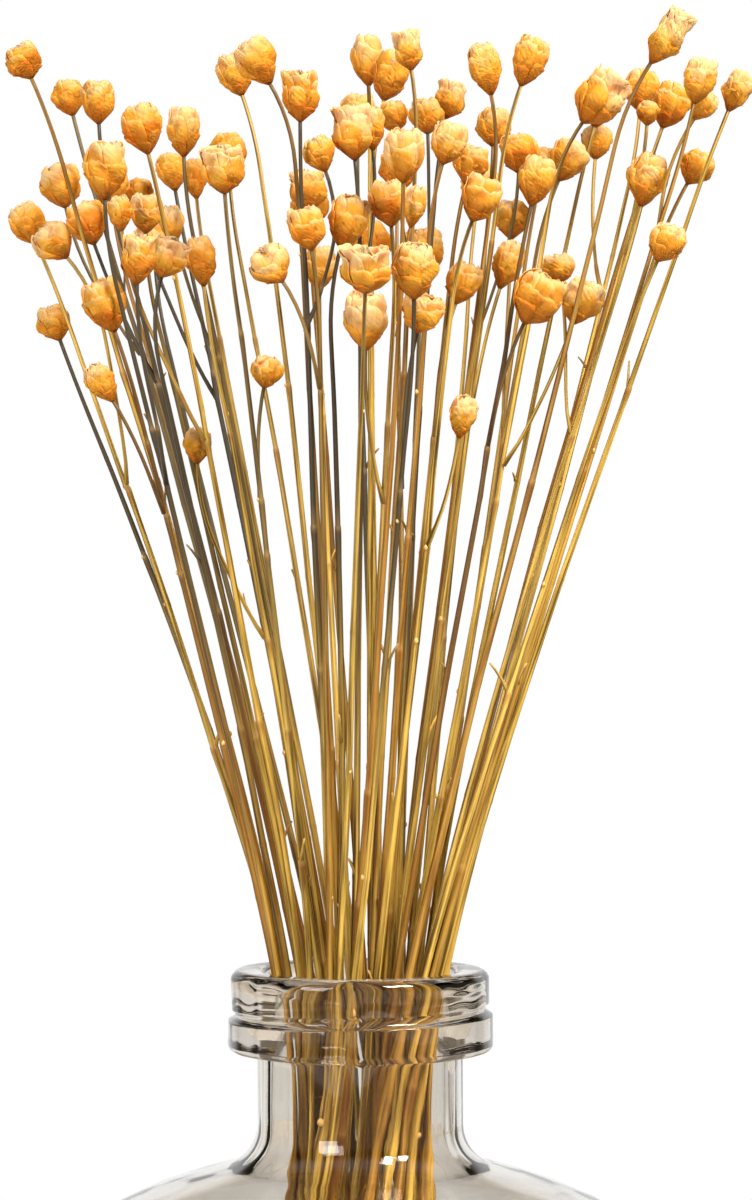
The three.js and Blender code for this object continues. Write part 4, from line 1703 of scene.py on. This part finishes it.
@dataclass(frozen=True)
class DriedBracts:
    """Papery bracts of an everlasting daisy, dried in air: matt and warm, paler where they are thin.

    The eye sees a brown-orange base, an amber body and a straw-pale top: partly the bracts' own colours,
    partly painted shade below and painted light on top, as from a lamp above. Pale rims and tips are a
    painted highlight, and darker folds are painted shade in the creases; there are slanting pleats in patches
    and fine veins that run along each bract.
    """

    # Distance between the bands of a diagonal wave texture at a scale of one, on the face of the paper.
    WAVE_PERIOD: ClassVar[float] = 0.444
    # Darker base, amber body and paler top by the height share: partly the bracts' own colours, partly
    # painted shade below and painted light on top.
    base: str = "#b0560a"
    body: Coat = Coat("#eb9e34", 0.0, 0.55)
    tip: Coat = Coat("#edc08e", 0.58, 1.1, 0.9)
    # Darkens the sunk creases and the core: painted shade.
    fold: Coat = Coat("#c0680c", 0.5, 1.0, 0.5)
    vein: Coat = Coat("#c87a22", 0.52, 0.72, 0.4)
    # Pale rims and tips: a painted highlight.
    edge: Coat = Coat("#f1d0a2", 0.2, 1.0, 0.5)
    veins: Fibres = Fibres(0.6, 6.0, 3.0)
    vein_relief: float = 0.5
    mottle_size: float = 3.2
    mottle_detail: float = 4.0
    height_play: float = 0.2
    crinkle_size: float = 1.9
    crinkle_detail: float = 2.0
    crinkle_depth: float = 0.26
    pleat_spacing: float = 1.5
    pleat_bend: float = 3.0
    pleat_patches: tuple[float, float] = (0.45, 0.62)
    pleat_depth: float = 0.5
    shine: float = 0.14
    roughness: tuple[float, float] = (0.52, 0.72)
    ior: float = 1.45
    glow: float = 0.4
    glow_depth: float = 1.0
    glow_radii: tuple[float, float, float] = (1.0, 0.4, 0.08)

    def make(self) -> bpy.types.Material:
        """Makes the material.

        Returns:
            The material.
        """
        material, tree = new_material("dried_papery_bracts")
        notes, grain = surface_notes(tree)
        veins = self.veins.draw(tree, grain)
        mottle = add_node(
            tree, "TexNoise", {"Scale": 1 / self.mottle_size, "Detail": self.mottle_detail}, {"Vector": grain}
        )
        uneven = add_node(
            tree, "MapRange", {"To Min": -self.height_play, "To Max": self.height_play}, {"Value": mottle}
        )
        height = add_node(tree, "Math", {"operation": "ADD"}, {0: notes.outputs["X"], 1: uneven})
        # Body and tip follow the height share (partly painted light and shade), the fold colour is painted
        # shade in the creases, and the rims are a painted highlight.
        coats = (
            (self.body, height), (self.tip, height), (self.fold, notes.outputs["Z"]), (self.vein, veins),
            (self.edge, notes.outputs["Y"]),
        )
        colour = self.base
        for coat, mask in coats:
            colour = coat.over(tree, colour, mask)
        rough = add_node(
            tree, "MapRange", {"To Min": self.roughness[0], "To Max": self.roughness[1]}, {"Value": mottle}
        )
        paper = add_node(
            tree, "BsdfPrincipled",
            {
                "IOR": self.ior, "Specular IOR Level": self.shine, "Subsurface Weight": self.glow,
                "Subsurface Scale": self.glow_depth * METRE, "Subsurface Radius": self.glow_radii,
            },
            {"Base Color": colour, "Roughness": rough, "Normal": self.relief(tree, grain, veins, mottle)},
        )
        add_node(tree, "OutputMaterial", {}, {"Surface": paper})
        return material

    def relief(
        self, tree: bpy.types.NodeTree, grain: bpy.types.NodeSocket, veins: bpy.types.Node,
        mottle: bpy.types.Node,
    ) -> bpy.types.Node:
        """Raises the paper's crinkles and veins, and sinks the creases between its pleats.

        Args:
            tree: The material's node tree.
            grain: The place on the surface in millimetres.
            veins: The noise of the veins.
            mottle: The noise that says where the paper is pleated.

        Returns:
            The bump node.
        """
        crinkle = add_node(
            tree, "TexNoise",
            {
                "noise_type": "RIDGED_MULTIFRACTAL", "Scale": 1 / self.crinkle_size,
                "Detail": self.crinkle_detail,
            },
            {"Vector": grain},
        )
        pleats = add_node(
            tree, "TexWave",
            {
                "bands_direction": "DIAGONAL", "Scale": self.WAVE_PERIOD / self.pleat_spacing,
                "Distortion": self.pleat_bend, "Detail": 1.0, "Detail Scale": 0.7,
            },
            {"Vector": grain},
        )
        start, full = self.pleat_patches
        bounds = {"From Min": start, "From Max": full, "To Max": self.pleat_depth}
        pleated = add_node(tree, "MapRange", bounds, {"Value": mottle})
        creases = add_node(tree, "Math", {"operation": "MULTIPLY"}, {0: pleats.outputs["Fac"], 1: pleated})
        raised = add_node(
            tree, "Math", {"operation": "MULTIPLY_ADD", 1: self.vein_relief}, {0: veins, 2: crinkle}
        )
        relief = add_node(tree, "Math", {"operation": "SUBTRACT"}, {0: raised, 1: creases})
        return add_node(
            tree, "Bump", {"Strength": 1.0, "Distance": self.crinkle_depth * METRE}, {"Height": relief}
        )


@dataclass(frozen=True)
class DriedStalks:
    """Woody stalks dried in air: glossy straw gold below, weathered to grey-brown where they are thin.

    The eye sees gold and olive streaks along the grain, pale scars at the knots and thin dark upper ends.
    Just under
    each head every stalk is greyer: there the grey is partly painted shade under the head.
    """

    gold: str = "#e7bf58"
    olive: Coat = Coat("#644806", 0.8, 1.18)
    brown: Coat = Coat("#884e0a", 0.5, 1.0, 0.75)
    grey: Coat = Coat("#463c2a")
    scar: Coat = Coat("#f0c478")
    streaks: Fibres = Fibres(0.7, 22.0, 4.0)
    patches: Fibres = Fibres(5.0, 60.0, 2.0)
    relief_depth: float = 0.08
    roughness: tuple[float, float] = (0.28, 0.56)
    ior: float = 1.5
    shine: float = 0.32

    def make(self) -> bpy.types.Material:
        """Makes the material.

        Returns:
            The material.
        """
        material, tree = new_material("dried_woody_stalk")
        notes, grain = surface_notes(tree)
        streaks = self.streaks.draw(tree, grain)
        patches = self.patches.draw(tree, grain)
        blend = add_node(tree, "Math", {"operation": "ADD"}, {0: streaks, 1: patches})
        coats = (
            (self.olive, blend), (self.brown, notes.outputs["Z"]), (self.grey, notes.outputs["X"]),
            (self.scar, notes.outputs["Y"]),
        )
        colour = self.gold
        for coat, mask in coats:
            colour = coat.over(tree, colour, mask)
        rough = add_node(
            tree, "MapRange", {"To Min": self.roughness[0], "To Max": self.roughness[1]}, {"Value": streaks}
        )
        bump = add_node(
            tree, "Bump", {"Strength": 1.0, "Distance": self.relief_depth * METRE}, {"Height": streaks}
        )
        wood = add_node(
            tree, "BsdfPrincipled", {"IOR": self.ior, "Specular IOR Level": self.shine},
            {"Base Color": colour, "Roughness": rough, "Normal": bump},
        )
        add_node(tree, "OutputMaterial", {}, {"Surface": wood})
        return material


@dataclass(frozen=True)
class ClearGlass:
    """Clear soda glass, blown with a pressed collar and fire polished.

    The eye sees bright and dark bends of the room at its edges, faint waves in its skin, and a warm grey that
    deepens where the glass is thick. Light from the lamps comes through it to the stems inside.
    """

    tint: str = "#f1eee9"
    depth_tint: str = "#cdc3b3"
    depth_density: float = 18.0
    shadow_tint: str = "#cbc6bc"
    ior: float = 1.5
    roughness: float = 0.0
    wave_size: float = 14.0
    wave_depth: float = 0.14

    def make(self) -> bpy.types.Material:
        """Makes the material.

        Returns:
            The material.
        """
        material, tree = new_material("clear_fire_polished_glass")
        _, grain = surface_notes(tree)
        waves = add_node(tree, "TexNoise", {"Scale": 1 / self.wave_size, "Detail": 1.0}, {"Vector": grain})
        bump = add_node(
            tree, "Bump", {"Strength": 1.0, "Distance": self.wave_depth * METRE}, {"Height": waves}
        )
        glass = add_node(
            tree, "BsdfPrincipled",
            {
                "Base Color": linear(self.tint), "Roughness": self.roughness, "IOR": self.ior,
                "Transmission Weight": 1.0,
            },
            {"Normal": bump},
        )
        path = add_node(tree, "LightPath")
        clear = add_node(tree, "BsdfTransparent", {"Color": linear(self.shadow_tint)})
        lit = add_node(tree, "MixShader", {}, {0: path.outputs["Is Shadow Ray"], 1: glass, 2: clear})
        depth = add_node(
            tree, "VolumeAbsorption", {"Color": linear(self.depth_tint), "Density": self.depth_density}
        )
        add_node(tree, "OutputMaterial", {}, {"Surface": lit, "Volume": depth})
        return material


@dataclass(frozen=True)
class PaintedBoard:
    """Smooth board under matt paint: the floor is plain and pale, and lightens evenly towards its rim."""

    # The darker paint of the middle, round the vase: partly a painted shadow of the vase.
    paint: str = "#c4beb5"
    shadowed: Coat = Coat("#bcb6ad")
    rim: Coat = Coat("#faf8f5")
    rim_fade: tuple[float, float] = (260.0, 740.0)
    patch_size: float = 90.0
    roughness: float = 0.7

    def make(self) -> bpy.types.Material:
        """Makes the material.

        Returns:
            The material.
        """
        material, tree = new_material("matt_white_board")
        place = add_node(tree, "TexCoord").outputs["Object"]
        patches = add_node(tree, "TexNoise", {"Scale": 1 / (self.patch_size * METRE)}, {"Vector": place})
        reach = add_node(tree, "VectorMath", {"operation": "LENGTH"}, {0: place})
        near, far = (METRE * radius for radius in self.rim_fade)
        outward = add_node(
            tree, "MapRange", {"interpolation_type": "SMOOTHSTEP", "From Min": near, "From Max": far},
            {"Value": reach},
        )
        # Darker in the middle, which is partly a painted shadow of the vase, and fading to near white towards
        # the rim.
        colour = self.shadowed.over(tree, self.paint, patches)
        colour = self.rim.over(tree, colour, outward)
        board = add_node(tree, "BsdfPrincipled", {"Roughness": self.roughness}, {"Base Color": colour})
        add_node(tree, "OutputMaterial", {}, {"Surface": board})
        return material


# Studio


@dataclass(frozen=True)
class Softbox:
    """A square soft lamp: its place, the place it faces, its side and its power."""

    name: str
    place: tuple[float, float, float]
    side: float
    watts: float
    colour: str = "#ffffff"
    shows_in_glass: bool = True
    target: tuple[float, float, float] = (0.0, 0.0, 330.0)

    def build(self) -> bpy.types.Object:
        """Builds the lamp.

        Returns:
            The lamp.
        """
        lamp = bpy.data.lights.new(self.name, "AREA")
        lamp.shape = "SQUARE"
        lamp.size = self.side * METRE
        lamp.energy = self.watts
        lamp.color = linear(self.colour)[:3]
        piece = bpy.data.objects.new(self.name, lamp)
        piece.location = [METRE * value for value in self.place]
        away = np.array(self.place) - np.array(self.target)
        piece.rotation_euler = aimed(away)
        piece.visible_glossy = piece.visible_transmission = self.shows_in_glass
        bpy.context.scene.collection.objects.link(piece)
        return piece


def aimed(back: np.ndarray) -> tuple[float, float, float]:
    """Gives the turns that point a lamp's or camera's back along a direction, with its top up."""
    x, y, z = unit(back)
    return (math.acos(z), 0.0, math.atan2(y, x) + math.pi / 2)


@dataclass(frozen=True)
class Studio:
    """A plain pale floor, soft lamps, an even white surround and the camera."""

    floor_radius: float = 750.0
    floor_drop: float = 0.2
    floor_sides: int = 96
    camera_place: tuple[float, float, float] = (4.34, -1040.0, 290.0)
    frame_height: float = 325.2
    sensor: float = 36.0
    round_light: tuple[tuple[float, float], ...] = (
        (-1.0, 0.34), (0.2, 0.34), (0.3, 0.26), (0.6, 0.26), (0.74, 1.0), (1.0, 1.0),
    )
    wall_top: tuple[float, float] = (0.32, 0.48)
    over_walls: float = 0.11
    overhead: float = 0.7
    overhead_edge: tuple[float, float] = (0.58, 0.8)
    diffuse_share: float = 0.34
    shade_tint: str = "#e9cfac"
    lamps: tuple[Softbox, ...] = (
        Softbox("key_softbox", (560.0, -640.0, 1080.0), 420.0, 23.0, "#fff7ec"),
        Softbox("fill_softbox", (-700.0, -900.0, 520.0), 600.0, 10.0),
        Softbox("back_softbox", (-560.0, 820.0, 820.0), 560.0, 8.0, "#fff7ec", shows_in_glass=False),
    )

    def build(self) -> None:
        """Builds the whole studio."""
        self.build_camera()
        self.build_surround()
        self.build_floor()
        for lamp in self.lamps:
            lamp.build()
        bpy.context.scene.view_settings.view_transform = "Standard"

    def build_camera(self) -> None:
        """Places the camera level in front of the bouquet, at the photograph's own scale."""
        camera = bpy.data.cameras.new("camera")
        camera.sensor_fit = "VERTICAL"
        camera.sensor_width = self.sensor
        camera.sensor_height = self.sensor
        camera.lens = self.sensor * -self.camera_place[1] / self.frame_height
        camera.clip_end = 20
        piece = bpy.data.objects.new("camera", camera)
        piece.location = [METRE * value for value in self.camera_place]
        piece.rotation_euler = (math.pi / 2, 0.0, 0.0)
        bpy.context.scene.collection.objects.link(piece)
        bpy.context.scene.camera = piece

    def build_surround(self) -> None:
        """Lights the room: a white backdrop between dark edges, pale walls and a pale ceiling."""
        world = bpy.data.worlds.new("surround")
        bpy.context.scene.world = world
        world.use_nodes = True
        tree = world.node_tree
        tree.nodes.clear()
        heading = add_node(tree, "TexCoord").outputs["Generated"]
        parts = add_node(tree, "SeparateXYZ", {}, {"Vector": heading})
        share = add_node(tree, "MapRange", {"From Min": -1.0}, {"Value": parts.outputs["Y"]})
        walls = add_node(tree, "ValToRGB", {}, {"Fac": share})
        stops = walls.color_ramp.elements
        while len(stops) < len(self.round_light):
            stops.new(0.5)
        for stop, (behind, light) in zip(stops, self.round_light):
            stop.position = (behind + 1) / 2
            stop.color = (light, light, light, 1.0)
        up_walls, ceiling = (
            add_node(
                tree, "MapRange",
                {
                    "interpolation_type": "SMOOTHSTEP", "From Min": low, "From Max": high, "To Min": below,
                    "To Max": above,
                },
                {"Value": parts.outputs["Z"]},
            )
            for (low, high), below, above in (
                (self.wall_top, 1.0, self.over_walls), (self.overhead_edge, 0.0, self.overhead),
            )
        )
        walls = add_node(tree, "Math", {"operation": "MULTIPLY"}, {0: walls, 1: up_walls})
        room = add_node(tree, "Math", {"operation": "MAXIMUM"}, {0: walls, 1: ceiling})
        path = add_node(tree, "LightPath")
        seen = add_node(tree, "Math", {"operation": "MAXIMUM"}, {0: room, 1: path.outputs["Is Camera Ray"]})
        shaded = add_node(
            tree, "MapRange", {"To Min": 1.0, "To Max": self.diffuse_share},
            {"Value": path.outputs["Is Diffuse Ray"]},
        )
        strength = add_node(tree, "Math", {"operation": "MULTIPLY"}, {0: seen, 1: shaded})
        colour = Coat("#ffffff").over(tree, self.shade_tint, seen)
        light = add_node(tree, "Background", {}, {"Color": colour, "Strength": strength})
        add_node(tree, "OutputWorld", {}, {"Surface": light})

    def build_floor(self) -> None:
        """Lays the round floor just under the vase's foot."""
        angles = FULL_TURN * np.arange(self.floor_sides) / self.floor_sides
        ring = np.full((self.floor_sides, 3), -self.floor_drop)
        ring[:, 0] = self.floor_radius * np.cos(angles)
        ring[:, 1] = self.floor_radius * np.sin(angles)
        parts = MeshParts()
        notes = np.zeros_like(ring)
        parts.add(ring, [list(range(self.floor_sides))], 0, notes, notes)
        parts.make("floor", [PaintedBoard().make()])


def triangles(piece: bpy.types.Object) -> int:
    """Counts a piece's triangles."""
    return sum(len(face.vertices) - 2 for face in piece.data.polygons)


def main() -> None:
    """Builds the studio, the vase and each stem of the bouquet, and reports each piece."""
    logging.basicConfig(level=logging.INFO, format="%(message)s")
    Studio().build()
    pieces = [GlassVase(ClearGlass().make()).build()]
    stalks = DriedStalks().make()
    bracts = DriedBracts().make()
    for number, shoots in enumerate(Layout().lay(), start=1):
        pieces.append(FlowerStem(number, shoots, stalks, bracts).build())
    for piece in pieces:
        log.info("%s: %d triangles", piece.name, triangles(piece))
    log.info("all pieces: %d triangles", sum(map(triangles, pieces)))


if __name__ == "__main__":
    main()
